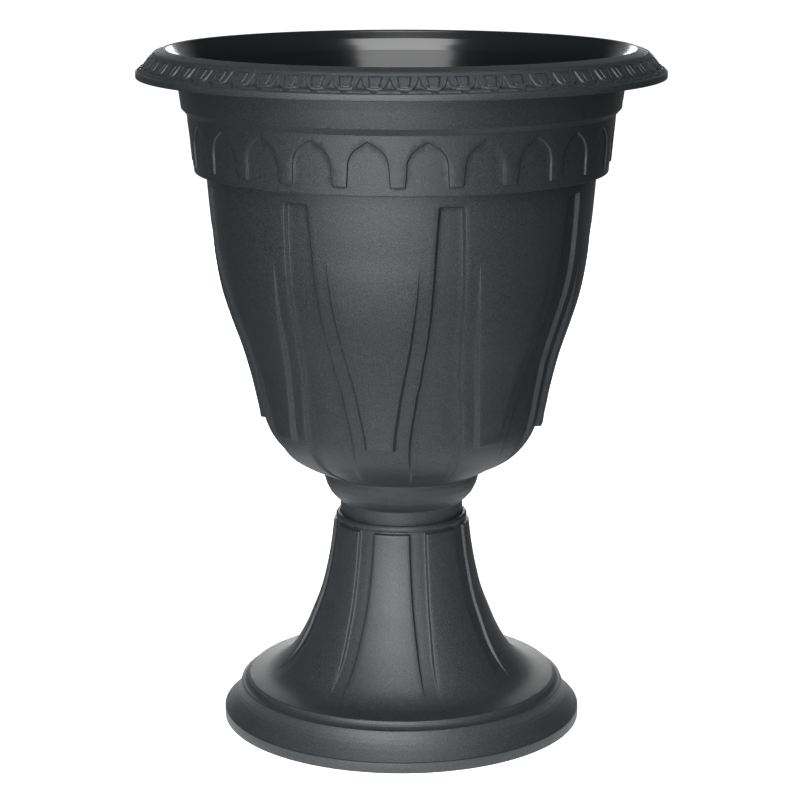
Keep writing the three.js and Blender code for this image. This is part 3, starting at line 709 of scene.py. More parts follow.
def depth_inside(points, outline):
    """Distance of points to a closed outline, positive inside it."""
    start, end = np.asarray(outline), np.roll(outline, -1, axis=0)
    side = end - start
    away = points[:, None] - start
    share = np.clip((away * side).sum(-1) / np.maximum((side * side).sum(-1), TINY_AREA), 0, 1)
    gap = np.linalg.norm(away - share[..., None] * side, axis=-1).min(1)
    level = points[:, None, 1]
    crosses = (start[:, 1] > level) != (end[:, 1] > level)
    rise = np.where(side[:, 1] == 0, 1, side[:, 1])
    right = points[:, None, 0] < start[:, 0] + side[:, 0] * (level - start[:, 1]) / rise
    inside = (crosses & right).sum(1) % 2 == 1
    return np.where(inside, gap, -gap)


def filled_patch(half_width, low, high, columns, side_step, lines, loose_step, clear):
    """Triangles over a rectangle, with edges along the lines and loose points between them."""
    top = np.linspace(-half_width, half_width, columns + 1)
    side = np.linspace(low, high, max(2, round((high - low) / side_step)) + 1)[1:-1]
    border = ([(x, low) for x in top] + [(half_width, y) for y in side]
              + [(x, high) for x in top[::-1]] + [(-half_width, y) for y in side[::-1]])
    points = list(border)
    edges = [(i, (i + 1) % len(border)) for i in range(len(border))]
    for line in lines:
        first = len(points)
        line = np.clip(line, (-half_width, low), (half_width, high))
        points += [tuple(p) for p in line]
        edges += [(first + i, first + i + 1) for i in range(len(line) - 1)]
    taken = np.array(points)
    xs = np.arange(-half_width + loose_step / 2, half_width, loose_step)
    ys = np.arange(low + loose_step / 2, high, loose_step)
    for k, y in enumerate(ys):
        for x in xs + (k % 2 - 0.5) * loose_step / 2:
            if abs(x) < half_width - clear and np.hypot(*(taken - (x, y)).T).min() > clear:
                points.append((x, y))
    made = delaunay_2d_cdt([Vector(p) for p in points], edges, [], 0, SAME_POINT)
    return np.array([tuple(p) for p in made[0]]), [list(face) for face in made[2]]


trial_points, trial_faces = filled_patch(2, 0, 2, 2, 1.0, [np.array([(-1, 1), (1, 1)])], 1.0, 0.5)
print("a small patch round one line has", len(trial_faces), "faces")

# %% [markdown]
# ## The arch band
#
# Twenty-four niches with pointed tops stand round the band under the rim. The ground between them is
# raised, as posts with square feet that stop above a plain strip. The niche is as deep as the strip.
# The jambs lean out a little towards the foot, and the shoulders swing over into a straight pitch.

# %% Sizes of the arch band
ARCHES = 24
BAND_TOP, BAND_RADIUS = 485.6, 164.9
BAND_DRAFT = 0.083
ARCH_RISE = 1.4
ARCH_FOOT = 447.8
ARCH_OUTLINE = [(15.95, 447.8), (15.2, 457), (14.75, 464), (13.85, 468), (12.2, 471.3), (10.6, 473.4),
                (7.75, 475.9), (4.2, 478.2), (0, 480.8)]
BAND_COLUMNS = 16
PATCH_LOW, PATCH_HIGH = 443.0, 484.2
OUTLINE_POINTS = 23
MARGIN = 5
flat_radius = BAND_RADIUS - 2
arch_half = math.radians(180 / ARCHES) * flat_radius


def band_level(z):
    """Radius of the niches and of the strip under the posts."""
    return BAND_RADIUS - ARCH_RISE - (BAND_TOP - z) * BAND_DRAFT


jamb = np.array(ARCH_OUTLINE)
lengths, _ = walked(jamb)
dense = np.linspace(0, lengths[-1], OUTLINE_POINTS)
right_side = np.stack([smooth_curve(list(zip(lengths, jamb[:, i])))(dense) for i in (0, 1)], axis=1)
left_side = right_side * (-1, 1)
beyond = arch_half + MARGIN
above = PATCH_HIGH + MARGIN
arch_line = np.vstack([[(-beyond, ARCH_FOOT)], left_side, right_side[-2::-1], [(beyond, ARCH_FOOT)]])
raised_ground = np.vstack([arch_line, [(beyond, above), (-beyond, above)]])
print("an arch unit is", round(2 * arch_half, 1), "mm wide, with", len(arch_line), "points in its outline")

# %% [markdown]
# The wall of an arch is laid down as eight lines side by side, four for each of its rounded corners.
# The ground outside the outline is then raised, and the patch is bent onto the band's cone.

# %% The arch patch
ARCH_WALL, ARCH_FILLET = 0.6, 0.36
marks = wall_marks(ARCH_WALL, ARCH_FILLET) - ARCH_WALL / 2
flat, patch_faces = filled_patch(arch_half, PATCH_LOW, PATCH_HIGH, BAND_COLUMNS, side_step=3.0,
                                 lines=[side_by_side(arch_line, d) for d in marks],
                                 loose_step=4.4, clear=1.6)
raised_share = ramp(depth_inside(flat, raised_ground) + ARCH_WALL / 2, ARCH_WALL, ARCH_FILLET)
patch_points = at_angle(band_level(flat[:, 1]) + ARCH_RISE * raised_share,
                        np.degrees(flat[:, 0] / flat_radius), flat[:, 1])
print("arch patch:", len(flat), "points,", len(patch_faces), "faces")

# %% [markdown]
# Above the arches a bevel leads out to the plain upper band, which flares towards the rim. Below, the
# band's foot turns under, back to the body. Inside, the wall follows with a step at the same height.

# %% The band as one closed sector
UPPER_BAND_RADIUS, UPPER_BAND_FOOT = 169.2, 490.2
JOINT_Z = 519.0
INNER_TOP_RADIUS, OUTER_TOP_RADIUS = 170.9, 174.3
body_top_radius = float(body_radius(BODY_TOP))
band_above = rounded([
    (OUTER_TOP_RADIUS, JOINT_Z), (172.2, 511), (170.9, 503, 10),
    (UPPER_BAND_RADIUS, UPPER_BAND_FOOT, 0.8), (BAND_RADIUS, BAND_TOP, 0.7),
    (band_level(PATCH_HIGH) + ARCH_RISE, PATCH_HIGH),
], 6, 4)
band_below = rounded([
    (band_level(PATCH_LOW), PATCH_LOW), (band_level(441.6), 441.3, 1.5),
    (body_top_radius + 0.9, 441.2, 0.5), (body_top_radius, BODY_TOP),
], 0.6, 4)
band_inside = rounded([
    (body_top_radius - WALL, BODY_TOP), (body_top_radius - WALL, 443.7, 1.2), (157.0, 444.0, 1.5),
    (161.9, 486.9, 2), (166.4, 491.6, 2), (168.0, 504, 8), (169.1, 511, 8), (INNER_TOP_RADIUS, JOINT_Z),
], 1.0, 3)
band_angles = np.linspace(-180 / ARCHES, 180 / ARCHES, BAND_COLUMNS + 1)


def plain_grid(line, angles):
    """A plain turned strip of rows along a line."""
    rows = np.stack([at_angle(radius, angles, z) for radius, z in line])
    return rows.reshape(-1, 3), grid_faces(len(rows), len(angles), closed=False)


under_and_in = np.vstack([band_below, band_inside, band_above])
band_parts = [(patch_points, patch_faces), plain_grid(under_and_in, band_angles)]
band_ring = ring_mesh("bowl_band", *stacked(band_parts), ARCHES, plastic)
bowl_band = finished("bowl_band", [band_ring], plastic)

# %% [markdown]
# ## The rim
#
# The rim rolls out over the bands: a rounded mouth, a slope down to a fine edge, a hollow that
# carries the ornament, and a plain lip that hangs down. Sixty cups stand round the hollow, each in
# its own tongue, with a dart between every two and a row of leaves under them, notched below each
# cup. A dart, not a cup, faces the front. The ornament is a millimetre or so high, so it is a
# triangulated patch too.

# %% Sizes of the rim
CUPS = 60
RIM_COLUMNS = 8
ORNAMENT_RADIUS = 195.0
LIP_RADIUS, LIP_FOOT = 203.2, 513.3
HOLLOW_TOP, HOLLOW_FOOT = (190.6, 530.5), (202.0, 518.8)
cup_half_unit = math.radians(180 / CUPS) * ORNAMENT_RADIUS
rim_before = rounded([
    (INNER_TOP_RADIUS, JOINT_Z), (172.5, 523, 7), (175.1, 528, 9), (178.5, 533.2, 1.2),
    (179.3, 534.6, 0.8), (181.0, 535.0, 1.0), (188.8, 532.5, 1.2), (190.2, 531.2, 0.6), HOLLOW_TOP,
], 0.8, 3)
hollow = rounded([HOLLOW_TOP, (193.4, 527.5), (195.1, 525.0), (198.3, 521.4), HOLLOW_FOOT], 3, 6)
rim_after = rounded([
    HOLLOW_FOOT, (LIP_RADIUS, 517.9, 0.7), (LIP_RADIUS, LIP_FOOT, 0.5), (200.7, LIP_FOOT, 0.5),
    (199.8, 516.3, 1.5), (192.5, 523.5, 3), (189.9, 527.4, 1.5), (182.4, 529.8, 1.5), (179.1, 525.5, 4),
    (OUTER_TOP_RADIUS, JOINT_Z),
], 0.8, 3)
hollow_length, hollow_out = walked(hollow)
hollow_end = float(hollow_length[-1])
print("the hollow is", round(hollow_end, 2), "mm deep along its curve")

# %% [markdown]
# The ornament is drawn flat first: x runs round the axis from a cup's middle, and y runs down the
# hollow from its top edge. A cup is an outline of its own. The darts and the leaves lie across the
# edge of the sector, so only their halves are drawn, and the outlines that measure them go on past
# the edge.

# %% The rim's ornament, drawn flat
CUP_TOP, CUP_FOOT = 1.7, 10.5
CUP_TOP_HALF, CUP_FOOT_HALF = 4.9, 3.2
DART_APEX, DART_FOOT = 2.2, 11.4
TONGUE_END = 12.1
LEAF_TOP, LEAF_FOOT = 13.0, 16.0
DART_HALF = 4.6
cup = rounded([(0, CUP_TOP), (-CUP_TOP_HALF, CUP_TOP, 0.5), (-CUP_FOOT_HALF, CUP_FOOT, 1.6),
               (CUP_FOOT_HALF, CUP_FOOT, 1.6), (CUP_TOP_HALF, CUP_TOP, 0.5), (0, CUP_TOP)], 0.5, 3)
dart_side = np.array([(0.0, DART_APEX), (0.45, 3.4), (1.25, 6.2), (2.2, 9.0), (3.4, 10.8),
                      (DART_HALF, DART_FOOT)])
foot_line = np.array([(DART_HALF, DART_FOOT), (5.8, 11.9), (8.0, TONGUE_END),
                      (cup_half_unit, TONGUE_END)])
leaf_side = np.array([(2.3, LEAF_FOOT), (3.2, 14.3), (4.6, LEAF_TOP), (7.4, 12.8), (cup_half_unit, 12.8)])


def both_sides(line, from_edge):
    """A line and its mirror image; from_edge counts x from the sector's edge, not its middle."""
    line = np.array(line)
    if from_edge:
        line = np.stack([cup_half_unit - line[:, 0], line[:, 1]], axis=1)
    return line, line * (-1, 1)


right_dart, left_dart = both_sides(dart_side, True)
right_foot, left_foot = both_sides(foot_line, True)
right_leaf, left_leaf = both_sides(leaf_side, False)
past_edge = cup_half_unit + MARGIN
dart_outlines = [np.vstack([side, (2 * np.sign(side[0, 0]) * cup_half_unit, 0) + side[:0:-1] * (-1, 1)])
                 for side in (right_dart, left_dart)]
tongue_outline = np.vstack([
    [(-past_edge, -MARGIN), (-past_edge, DART_FOOT)], left_dart[-1:], left_foot[1:],
    right_foot[:0:-1], right_dart[-1:], [(past_edge, DART_FOOT), (past_edge, -MARGIN)]])
leaf_outlines = [np.vstack([leaf, [(side * past_edge, leaf[-1, 1]), (side * past_edge, LEAF_FOOT)]])
                 for side, leaf in ((1, right_leaf), (-1, left_leaf))]
print("a cup is", 2 * CUP_TOP_HALF, "mm wide, and its unit", round(2 * cup_half_unit, 1), "mm")

# %% [markdown]
# A pressed line, such as the groove round a cup, gets four edges side by side, and a low wall two.
# Then the triangulation fills the patch between them.

# %% The rim's patch
LINE_HALF = 0.45
LOW_WALL = 0.5
pressed_lines = LINE_HALF * np.array([-1, -1 / 3, 1 / 3, 1])
wall_lines = LOW_WALL * np.array([-1 / 2, 1 / 2])
rim_lines = [side_by_side(line, d) for line in (cup, right_dart, left_dart[::-1]) for d in pressed_lines]
rim_lines += [side_by_side(line, d) for line in (right_foot, left_foot, right_leaf, left_leaf)
              for d in wall_lines]
rim_lines += [np.array([(-cup_half_unit, y), (cup_half_unit, y)])
              for y in (LEAF_FOOT, LEAF_FOOT + LOW_WALL)]
rim_flat, rim_faces = filled_patch(cup_half_unit, 0, hollow_end, RIM_COLUMNS, side_step=1.4,
                                   lines=rim_lines, loose_step=1.9, clear=0.75)
print("rim patch:", len(rim_flat), "points,", len(rim_faces), "faces")

# %% [markdown]
# Each point of the patch is raised or sunk by how deep it lies in each outline. A cup stands out a
# little, inside a groove that fades at its foot. A dart is sunk, deeper towards its foot, inside a
# fine line of its own. Below the tongues runs a channel, and the leaves rise out of it.

# %% Heights of the rim's ornament
CUP_GROOVE, CUP_RISE, DART_SINK = 0.9, 0.25, 1.25
DART_GROOVE, CHANNEL, LEAF_RISE = 0.4, 0.6, 0.45
GROOVE_FADE_START, GROOVE_FADE = 7.5, 0.75
APEX_SHARE = 0.35
LOW_FILLET, DART_WALL = 0.3, 0.6
TOP_FADE, FOOT_FADE = 0.6, 0.5
in_cup = depth_inside(rim_flat, cup[:-1])
in_dart = np.maximum(*[depth_inside(rim_flat, outline) for outline in dart_outlines])
on_tongue = depth_inside(rim_flat, tongue_outline)
on_leaf = np.maximum(*[depth_inside(rim_flat, outline) for outline in leaf_outlines])
down = rim_flat[:, 1]


def pressed(depth):
    """A round-bottomed line along an outline: 1 on it, 0 at half its width away."""
    return np.maximum(0, 1 - (np.abs(depth) / LINE_HALF) ** 2)


groove = pressed(in_cup) * (1 - GROOVE_FADE * fade(down, GROOVE_FADE_START, CUP_FOOT))
dart_share = APEX_SHARE + (1 - APEX_SHARE) * np.clip((down - DART_APEX) / (DART_FOOT - DART_APEX), 0, 1)
dart = dart_share * ramp(in_dart + DART_WALL / 2, DART_WALL, LOW_FILLET)
in_channel = 1 - ramp(on_tongue + LOW_WALL / 2, LOW_WALL, LOW_FILLET)
in_channel *= 1 - fade(down, LEAF_FOOT, LEAF_FOOT + LOW_WALL)
leaf_share = ramp(on_leaf + LOW_WALL / 2, LOW_WALL, LOW_FILLET)
rim_height = (CUP_RISE * ramp(in_cup, LOW_WALL, LOW_FILLET) - CUP_GROOVE * groove
              - DART_SINK * dart - DART_GROOVE * pressed(in_dart)
              - in_channel * (CHANNEL - (CHANNEL + LEAF_RISE) * leaf_share))
rim_height *= fade(down, 0, TOP_FADE) * (1 - fade(down, hollow_end - FOOT_FADE, hollow_end))
print("the ornament stands", round(float(rim_height.max()), 2), "mm out and is",
      round(float(-rim_height.min()), 2), "mm deep")

# %% [markdown]
# Last, the patch is bent along the hollow and round the axis, turned by half a unit so that a dart
# faces the front, and joined with the plain strip that goes on round the lip and over the mouth.

# %% The rim as one closed sector
base = np.stack([np.interp(down, hollow_length, hollow[:, i]) for i in (0, 1)], axis=1)
out = np.stack([np.interp(down, hollow_length, hollow_out[:, i]) for i in (0, 1)], axis=1)
raised = base + rim_height[:, None] * out
turned = np.degrees(rim_flat[:, 0] / ORNAMENT_RADIUS) + 180 / CUPS
rim_patch = (at_angle(raised[:, 0], turned, raised[:, 1]), [face[::-1] for face in rim_faces])
rim_angles = np.linspace(0, 360 / CUPS, RIM_COLUMNS + 1)
lip_strip = plain_grid(np.vstack([rim_after, rim_before]), rim_angles)
rim_ring = ring_mesh("bowl_rim", *stacked([rim_patch, lip_strip]), CUPS, plastic)
bowl_rim = finished("bowl_rim", [rim_ring], plastic)

# %% [markdown]
# ## The pedestal
#
# The foot is a hollow flare. Eight raised panels run down it: square at the top, under a small
# cornice, and fading out near the ledge. Below the ledge come a small hollow moulding, a wider one
# and the upright skirt that stands on the ground. It is made as the body is, with columns that
# follow the sides of the panels.

# %% Sizes of the pedestal
PANELS = 8
LEDGE_RADIUS, LEDGE_Z = 122.0, 34.2
THROAT_RADIUS, PANEL_TOP = 53.6, 162.6
PANEL_RISE, PANEL_FADE = 2.4, (38, 68)
PANEL_WALL, FADED_WALL, PANEL_FILLET = 1.3, 0.3, 0.7
TOP_START, TOP_WALL, TOP_FILLET = 0.4, 1.0, 0.6
FLARE_STEP, LEDGE_BUNCHING = 3.2, 1.6
FLARE_SHARES = [(0, 1), (0.02, 0.81), (0.045, 0.7), (0.08, 0.61), (0.126, 0.531), (0.174, 0.466),
                (0.285, 0.348), (0.404, 0.253), (0.523, 0.167), (0.682, 0.09), (0.841, 0.036), (1, 0)]
PANEL_HALF_ANGLES = [(34, 19.2), (45, 19), (66, 18.3), (96, 17), (126, 16), (158, 15.5), (163, 15.4)]
flare_share = smooth_curve(FLARE_SHARES)
panel_half = smooth_curve(PANEL_HALF_ANGLES)
fine_flare = LEDGE_Z + (PANEL_TOP - LEDGE_Z) * np.linspace(1, 0, FINE_POINTS) ** LEDGE_BUNCHING
flare_up = (fine_flare - LEDGE_Z) / (PANEL_TOP - LEDGE_Z)
flare_line = np.stack([THROAT_RADIUS + (LEDGE_RADIUS - THROAT_RADIUS) * flare_share(flare_up),
                       fine_flare], axis=1)
flare_length, flare_out = walked(flare_line)
flare_places = row_places(flare_length[-1], FLARE_STEP, TOP_START + wall_marks(TOP_WALL, TOP_FILLET))
print("the flare is", round(float(flare_length[-1]), 1), "mm long, in", len(flare_places), "rows")

# %% [markdown]
# The panels lie in the flare's own outline, and the ground between them is sunk. Its depth fades out
# towards the ledge, and the walls of a panel get narrower with it.

# %% Rows across a panel
PANEL_SHARES = np.array([0, 0.3, 0.6, 0.85])
BETWEEN_SHARES = np.array([0.4, 0.75, 1])


def panel_row(place, sunk=0.0):
    """One row of the flare across a sector, `sunk` below the outer face."""
    radius, z = (np.interp(place, flare_length, flare_line[:, i]) for i in (0, 1))
    out_r, out_z = (np.interp(place, flare_length, flare_out[:, i]) for i in (0, 1))
    rise = PANEL_RISE * float(fade(z, *PANEL_FADE))
    wide = FADED_WALL + (PANEL_WALL - FADED_WALL) * rise / PANEL_RISE
    edge = math.radians(float(panel_half(z))) * radius
    side = edge + wide / 2 - wall_marks(wide, PANEL_FILLET)[::-1]
    middle = math.radians(180 / PANELS) * radius
    across = np.concatenate([side[0] * PANEL_SHARES, side,
                             side[-1] + (middle - side[-1]) * BETWEEN_SHARES])
    on_panel = ramp(edge + wide / 2 - across, wide, PANEL_FILLET)
    on_panel = on_panel * ramp(place - TOP_START, TOP_WALL, TOP_FILLET)
    angles, lift = mirrored(np.degrees(across / radius), -rise * (1 - on_panel) - sunk)
    return at_angle(radius + lift * out_r, angles, z + lift * out_z)


flare_rows = [panel_row(place) for place in flare_places]
panel_spread = np.linspace(-180 / PANELS, 180 / PANELS, len(flare_rows[0]))
print("the pedestal has", len(panel_spread) - 1, "columns in a sector")

# %% [markdown]
# The rest of the cross-section is plain: the cornice over the panels, the foot from the ledge down
# and back up inside, and the bore that takes the neck. The inner face of the flare follows the outer
# one up to where the bore ends.

# %% The pedestal as one closed sector
INNER_FLARE_FOOT, INNER_FLARE_STEP = 35.2, 9
INNER_FLARE_START = 18
TOP_RADIUS, TOP_Z = 49.1, 168
SKIRT_RADIUS, SKIRT_TOP = 142.9, 8.1


def plain_pedestal_rows(line):
    """Evenly spread rows along a line of (radius, height)."""
    return [at_angle(radius, panel_spread, z) for radius, z in line]


inner_places_down = row_places(np.interp(-INNER_FLARE_FOOT, -fine_flare, flare_length),
                               INNER_FLARE_STEP, [])
inner_flare = [panel_row(place, WALL) for place in inner_places_down[::-1]
               if place > INNER_FLARE_START]
cornice = rounded([(TOP_RADIUS, TOP_Z), (50.9, TOP_Z, 1.2), (52.1, 166.2, 1.2), (52.0, 163.9, 0.7),
                   (51.2, 163.1)], 0.6)
ledge_edge = rounded([(LEDGE_RADIUS, LEDGE_Z), (122.5, 34.0, 0.4), (123.2, 32.0, 1.5), (124.4, 30.5, 2),
                      (126.4, 29.3, 2), (128.7, 28.7), (129.1, 28.4, 0.3), (129.9, 26.0), (131.0, 22.8),
                      (132.7, 19.3), (135.3, 15.6), (138.6, 11.9), (141.7, 8.5, 0.3),
                      (SKIRT_RADIUS, SKIRT_TOP, 0.6), (SKIRT_RADIUS, 0, 0.5), (140.3, 0, 0.5),
                      (139.3, 6.8), (132.6, 13.6, 8), (129.0, 19.5, 6), (126.6, 25.8, 2),
                      (124, 27.8, 3), (119.5, 31.5, 6)], 2.5, 3)
bore = rounded([(51.0, 140.6), (TOP_RADIUS, 143.2, 1), (TOP_RADIUS, TOP_Z)], 1)
pedestal_sector = np.stack([*plain_pedestal_rows(cornice[1:]), *flare_rows,
                            *plain_pedestal_rows(ledge_edge[1:]), *inner_flare,
                            *plain_pedestal_rows(bore)])
pedestal_ring = ring_mesh("pedestal_shell", pedestal_sector, grid_faces(*pedestal_sector.shape[:2]),
                          PANELS, plastic)
print("pedestal sector:", pedestal_sector.shape[:2], "rows and columns")

# %% [markdown]
# Inside the top a shelf carries the neck. The spigot goes through it, and its lugs go down through
# three notches and turn to the stops.

# %% Shelf and stops
SHELF_RADIUS, SHELF_OUTER, NOTCH_RADIUS = 40.0, 50.3, 43.6
SHELF_FOOT, SHELF_TOP = 143.0, 146.0
NOTCH_START, NOTCH_END = 21.0, 39.0
NOTCH_SIDE, NOTCH_STEP = 0.2, 4.5
STOP_START, STOP_END, STOP_ROOT = -11.5, -8.5, 1
CLEARANCE = 0.3
shelf_end = 180 / LUGS
shelf_angles = np.array([*np.linspace(-shelf_end, NOTCH_START - NOTCH_SIDE, 22), NOTCH_START,
                         *np.linspace(NOTCH_START + NOTCH_STEP, NOTCH_END - NOTCH_STEP, 3), NOTCH_END,
                         *np.linspace(NOTCH_END + NOTCH_SIDE, shelf_end, 7)])
notched = (shelf_angles >= NOTCH_START) & (shelf_angles <= NOTCH_END)
shelf_inner = np.where(notched, NOTCH_RADIUS, SHELF_RADIUS)
shelf_rows = np.stack([at_angle(SHELF_OUTER, shelf_angles, SHELF_TOP),
                       at_angle(SHELF_OUTER, shelf_angles, SHELF_FOOT),
                       at_angle(shelf_inner, shelf_angles, SHELF_FOOT),
                       at_angle(shelf_inner, shelf_angles, SHELF_TOP)])
shelf = ring_mesh("shelf", shelf_rows, grid_faces(*shelf_rows.shape[:2]), LUGS, plastic)
stop_points, stop_faces = bent_block(SHELF_RADIUS + CLEARANCE, LUG_RADIUS + CLEARANCE, LUG_FOOT,
                                     SHELF_FOOT + STOP_ROOT, STOP_START, STOP_END, steps=2)
stops = ring_mesh("stops", stop_points, stop_faces, LUGS, plastic)
pedestal_shell = finished("pedestal_shell", [pedestal_ring, shelf, stops], plastic)

# %% [markdown]
# ## The drain plug
#
# A soft rubber bung: a flange that lies in the seat of the floor, a stem that tapers at its tip, and
# a grip to pull it by. Its rubber is dull and dusty next to the plastic, so one noise sets both how
# grey and how rough it is, and a very fine one makes its pores.

# %% Dull rubber
DUST_SCALE, PORE_SCALE = 260, 2400
CLEAN_COLOUR, DUSTY_COLOUR = (0.010, 0.010, 0.011, 1), (0.022, 0.022, 0.023, 1)
SMOOTHEST_RUBBER, ROUGHEST_RUBBER = 0.66, 0.82
RUBBER_SPECULAR = 0.35
PORE_DEPTH, PORE_STRENGTH = 0.08 * MM, 0.4


def dull_rubber():
    material = bpy.data.materials.new("plug_rubber")
    material.use_nodes = True
    nodes, links = material.node_tree.nodes, material.node_tree.links
    surface = nodes["Principled BSDF"]
    surface.inputs["Specular IOR Level"].default_value = RUBBER_SPECULAR
    position = nodes.new("ShaderNodeTexCoord").outputs["Object"]
    dust = noise(nodes, links, position, DUST_SCALE, 4)
    pores = noise(nodes, links, position, PORE_SCALE, 2)
    tint = nodes.new("ShaderNodeValToRGB")
    tint.color_ramp.elements[0].color = CLEAN_COLOUR
    tint.color_ramp.elements[1].color = DUSTY_COLOUR
    links.new(dust, tint.inputs["Fac"])
    links.new(tint.outputs["Color"], surface.inputs["Base Color"])
    roughness = ranged(nodes, links, dust, SMOOTHEST_RUBBER, ROUGHEST_RUBBER)
    links.new(roughness, surface.inputs["Roughness"])
    bump = nodes.new("ShaderNodeBump")
    bump.inputs["Strength"].default_value = PORE_STRENGTH
    bump.inputs["Distance"].default_value = PORE_DEPTH
    links.new(pores, bump.inputs["Height"])
    links.new(bump.outputs["Normal"], surface.inputs["Normal"])
    return material


rubber = dull_rubber()
print("rubber:", len(rubber.node_tree.nodes), "nodes")

# %% [markdown]
# The plug could be spun from its profile. Here it is a narrow strip of that profile, repeated
# sixty-four times by the same tree, which closes the poles as it merges the strips.

# %% The plug
PLUG_STRIPS = 64
GRIP_RADIUS, GRIP_TOP = 4.5, 215.8
FLANGE_RADIUS, FLANGE_TOP, PLUG_SEAT = 15.0, 208.8, 206.6
STEM_RADIUS, STEM_FOOT = 9.7, 198.6
plug_line = rounded([
    (0, GRIP_TOP), (GRIP_RADIUS, GRIP_TOP, 2.2), (GRIP_RADIUS, 213.2, 1.5), (3.5, FLANGE_TOP, 1.2),
    (FLANGE_RADIUS, FLANGE_TOP, 1.4), (FLANGE_RADIUS, PLUG_SEAT, 0.4), (STEM_RADIUS, PLUG_SEAT, 0.3),
    (STEM_RADIUS, 201.6, 1.5), (8.5, STEM_FOOT, 0.8), (0, STEM_FOOT),
], 0.5, 4)
plug_angles = np.array([-180 / PLUG_STRIPS, 180 / PLUG_STRIPS])
plug_ring = ring_mesh("plug", *plain_grid(plug_line, plug_angles), PLUG_STRIPS, rubber)
plug = finished("plug", [plug_ring], rubber)

# %% [markdown]
# ## Riding on the solids
#
# The three meshes of the bowl ride on its body, and stand for its solid. The pedestal and the plug
# do the same for theirs.

# %% Bodies
for piece, body, finish in ((bowl_body, "bowl", "moulded_plastic"),
                            (bowl_band, "bowl", "moulded_plastic"),
                            (bowl_rim, "bowl", "moulded_plastic"),
                            (pedestal_shell, "pedestal", "moulded_plastic"),
                            (plug, "drain_plug", "plug_rubber")):
    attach(piece, body)
    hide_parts(body)

# %% [markdown]
# ## Floor
#
# The urn stands on a plain white floor. The lower bowl looks down on the floor and mirrors it, while
# the upright walls mirror what lies further off. So only the floor round the urn takes part in its
# reflections, as a white sheet in a dark studio does. The floor beyond it only fills the picture.
#
# No light reaches the ground inside the hollow foot, so the disc under it has no glow of its own.
# It is what an eye sees through the open drain hole.

# %% Floor
SHADED_RADIUS, SHEET_RADIUS, FLOOR_RADIUS = 0.138, 0.34, 30.0
SHEET_GLOW, FAR_GLOW = 0.85, 1.05
PINHOLE = 0.1 * MM


def pale_floor(name, glow):
    material = bpy.data.materials.new(name)
    material.use_nodes = True
    surface = material.node_tree.nodes["Principled BSDF"]
    surface.inputs["Base Color"].default_value = (0.9, 0.9, 0.9, 1)
    surface.inputs["Roughness"].default_value = 0.9
    surface.inputs["Specular IOR Level"].default_value = 0.1
    surface.inputs["Emission Color"].default_value = (1, 1, 1, 1)
    surface.inputs["Emission Strength"].default_value = glow
    return material


def floor_ring(name, inner, outer, material, steps=96):
    """A flat ring on the ground, its radii in metres."""
    angles = np.linspace(-180, 180, steps + 1)
    rows = np.stack([at_angle(radius / MM, angles, 0.0) for radius in (outer, inner)])
    ring = bpy.data.objects.new(name, new_mesh(name, rows, grid_faces(2, steps + 1, closed=False)))
    ring.data.flip_normals()
    ring.data.materials.append(material)
    bpy.context.scene.collection.objects.link(ring)
    return ring


floor_ring("floor_under_foot", PINHOLE, SHADED_RADIUS, pale_floor("shaded_floor", 0))
sheet = floor_ring("floor_sheet", SHADED_RADIUS, SHEET_RADIUS, pale_floor("lit_floor", SHEET_GLOW))
far_floor = floor_ring("floor_beyond", SHEET_RADIUS, FLOOR_RADIUS, pale_floor("far_floor", FAR_GLOW))
far_floor.visible_glossy = False
far_floor.visible_diffuse = False
faces_up = sheet.data.polygons[0].normal.z > 0
print("floor:", FLOOR_RADIUS * 2, "m across, its faces look", "up" if faces_up else "down")

# %% [markdown]
# ## Light
#
# The plastic shows its light more than its colour. The dark sides of the room leave the flanks dark,
# and the pale space behind draws a thin line of light down both outlines. The room could be built of
# walls, but here it is the world itself, which is simpler and costs nothing to render.

# %% The pale space behind the urn
BEHIND = Vector((-math.sin(CAMERA_TURN), math.cos(CAMERA_TURN), 0))
FRONT = -BEHIND
RIGHT = Vector((math.cos(CAMERA_TURN), math.sin(CAMERA_TURN), 0))
UP = Vector((0, 0, 1))
DARK_ROOM = 0.02
# Which way the room is bright, the cosines where its light starts and is full, and its strength.
BRIGHT_SIDES = [(BEHIND, 0.72, 0.99, 0.6), (UP, 0.35, 0.95, 0.1)]


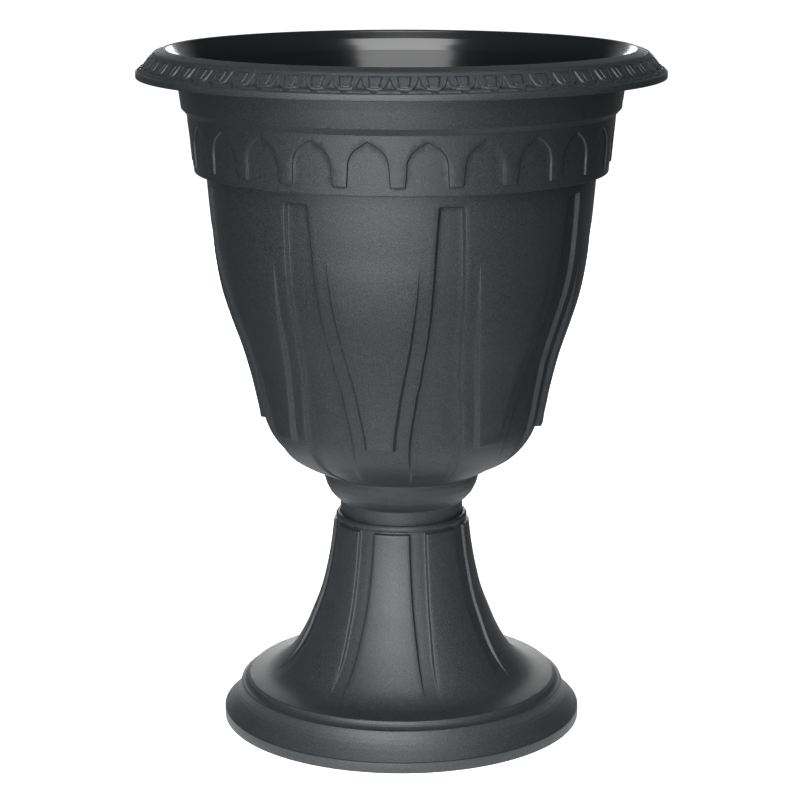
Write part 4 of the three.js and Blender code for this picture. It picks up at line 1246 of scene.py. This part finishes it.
def studio_world():
    world = bpy.data.worlds.new("studio")
    bpy.context.scene.world = world
    world.use_nodes = True
    nodes, links = world.node_tree.nodes, world.node_tree.links
    direction = nodes.new("ShaderNodeTexCoord").outputs["Generated"]
    strengths = []
    for axis, start, end, strength in BRIGHT_SIDES:
        towards = nodes.new("ShaderNodeVectorMath")
        towards.operation = "DOT_PRODUCT"
        links.new(direction, towards.inputs[0])
        towards.inputs[1].default_value = axis
        share = towards.outputs["Value"]
        strengths.append(ranged(nodes, links, share, DARK_ROOM, strength, start, end))
    glow = nodes.new("ShaderNodeMath")
    for socket, strength in zip(glow.inputs, strengths):
        links.new(strength, socket)
    nodes["Background"].inputs["Color"].default_value = (1, 1, 1, 1)
    links.new(glow.outputs[0], nodes["Background"].inputs["Strength"])
    return world


world = studio_world()
print("world:", world.name, "with", len(BRIGHT_SIDES), "bright sides")

# %% [markdown]
# Three soft lamps stand in front of the urn, one above the other. A steep wall mirrors what lies
# low, and a ledge what lies high, so each lamp lights its own parts most. A weak lamp behind the urn
# lights its back, and hardly reaches the sides that the photo shows.
#
# The lights are fixed to the urn, not to the camera, so every other view has the same light.

# %% The lamps
LIT_POINT = Vector((0, 0, 0.35))
# Angle to the right of the camera, distance and height; width and height of the lamp; its power.
LAMPS = {
    "low_light": ((-13, 2.4, 0.45), (2.1, 0.5), 78),
    "front_light": ((-2, 2.2, 1.3), (2.2, 1.5), 32),
    "high_light": ((-1, 1.9, 2.6), (2.2, 1.4), 52),
    "back_light": ((180, 2.6, 0.5), (1.4, 0.8), 26),
}


def soft_lamp(name, place, size, power):
    """A soft rectangular lamp that faces the urn."""
    lamp = bpy.data.lights.new(name, "AREA")
    lamp.shape = "RECTANGLE"
    lamp.size, lamp.size_y = size
    lamp.energy = power
    holder = bpy.data.objects.new(name, lamp)
    bpy.context.scene.collection.objects.link(holder)
    holder.location = place
    holder.rotation_euler = (LIT_POINT - place).to_track_quat("-Z", "Y").to_euler()
    return holder


def placed(turn, distance, height):
    """A point at an angle to the right of the camera, seen from the urn."""
    angle = math.radians(turn)
    return (FRONT * math.cos(angle) + RIGHT * math.sin(angle)) * distance + Vector((0, 0, height))


lamps = {name: soft_lamp(name, placed(*place), size, power)
         for name, (place, size, power) in LAMPS.items()}
lamps["back_light"].visible_camera = False
bpy.context.scene.view_settings.view_transform = "Standard"
print("lamps:", {name: lamp.data.energy for name, lamp in lamps.items()})
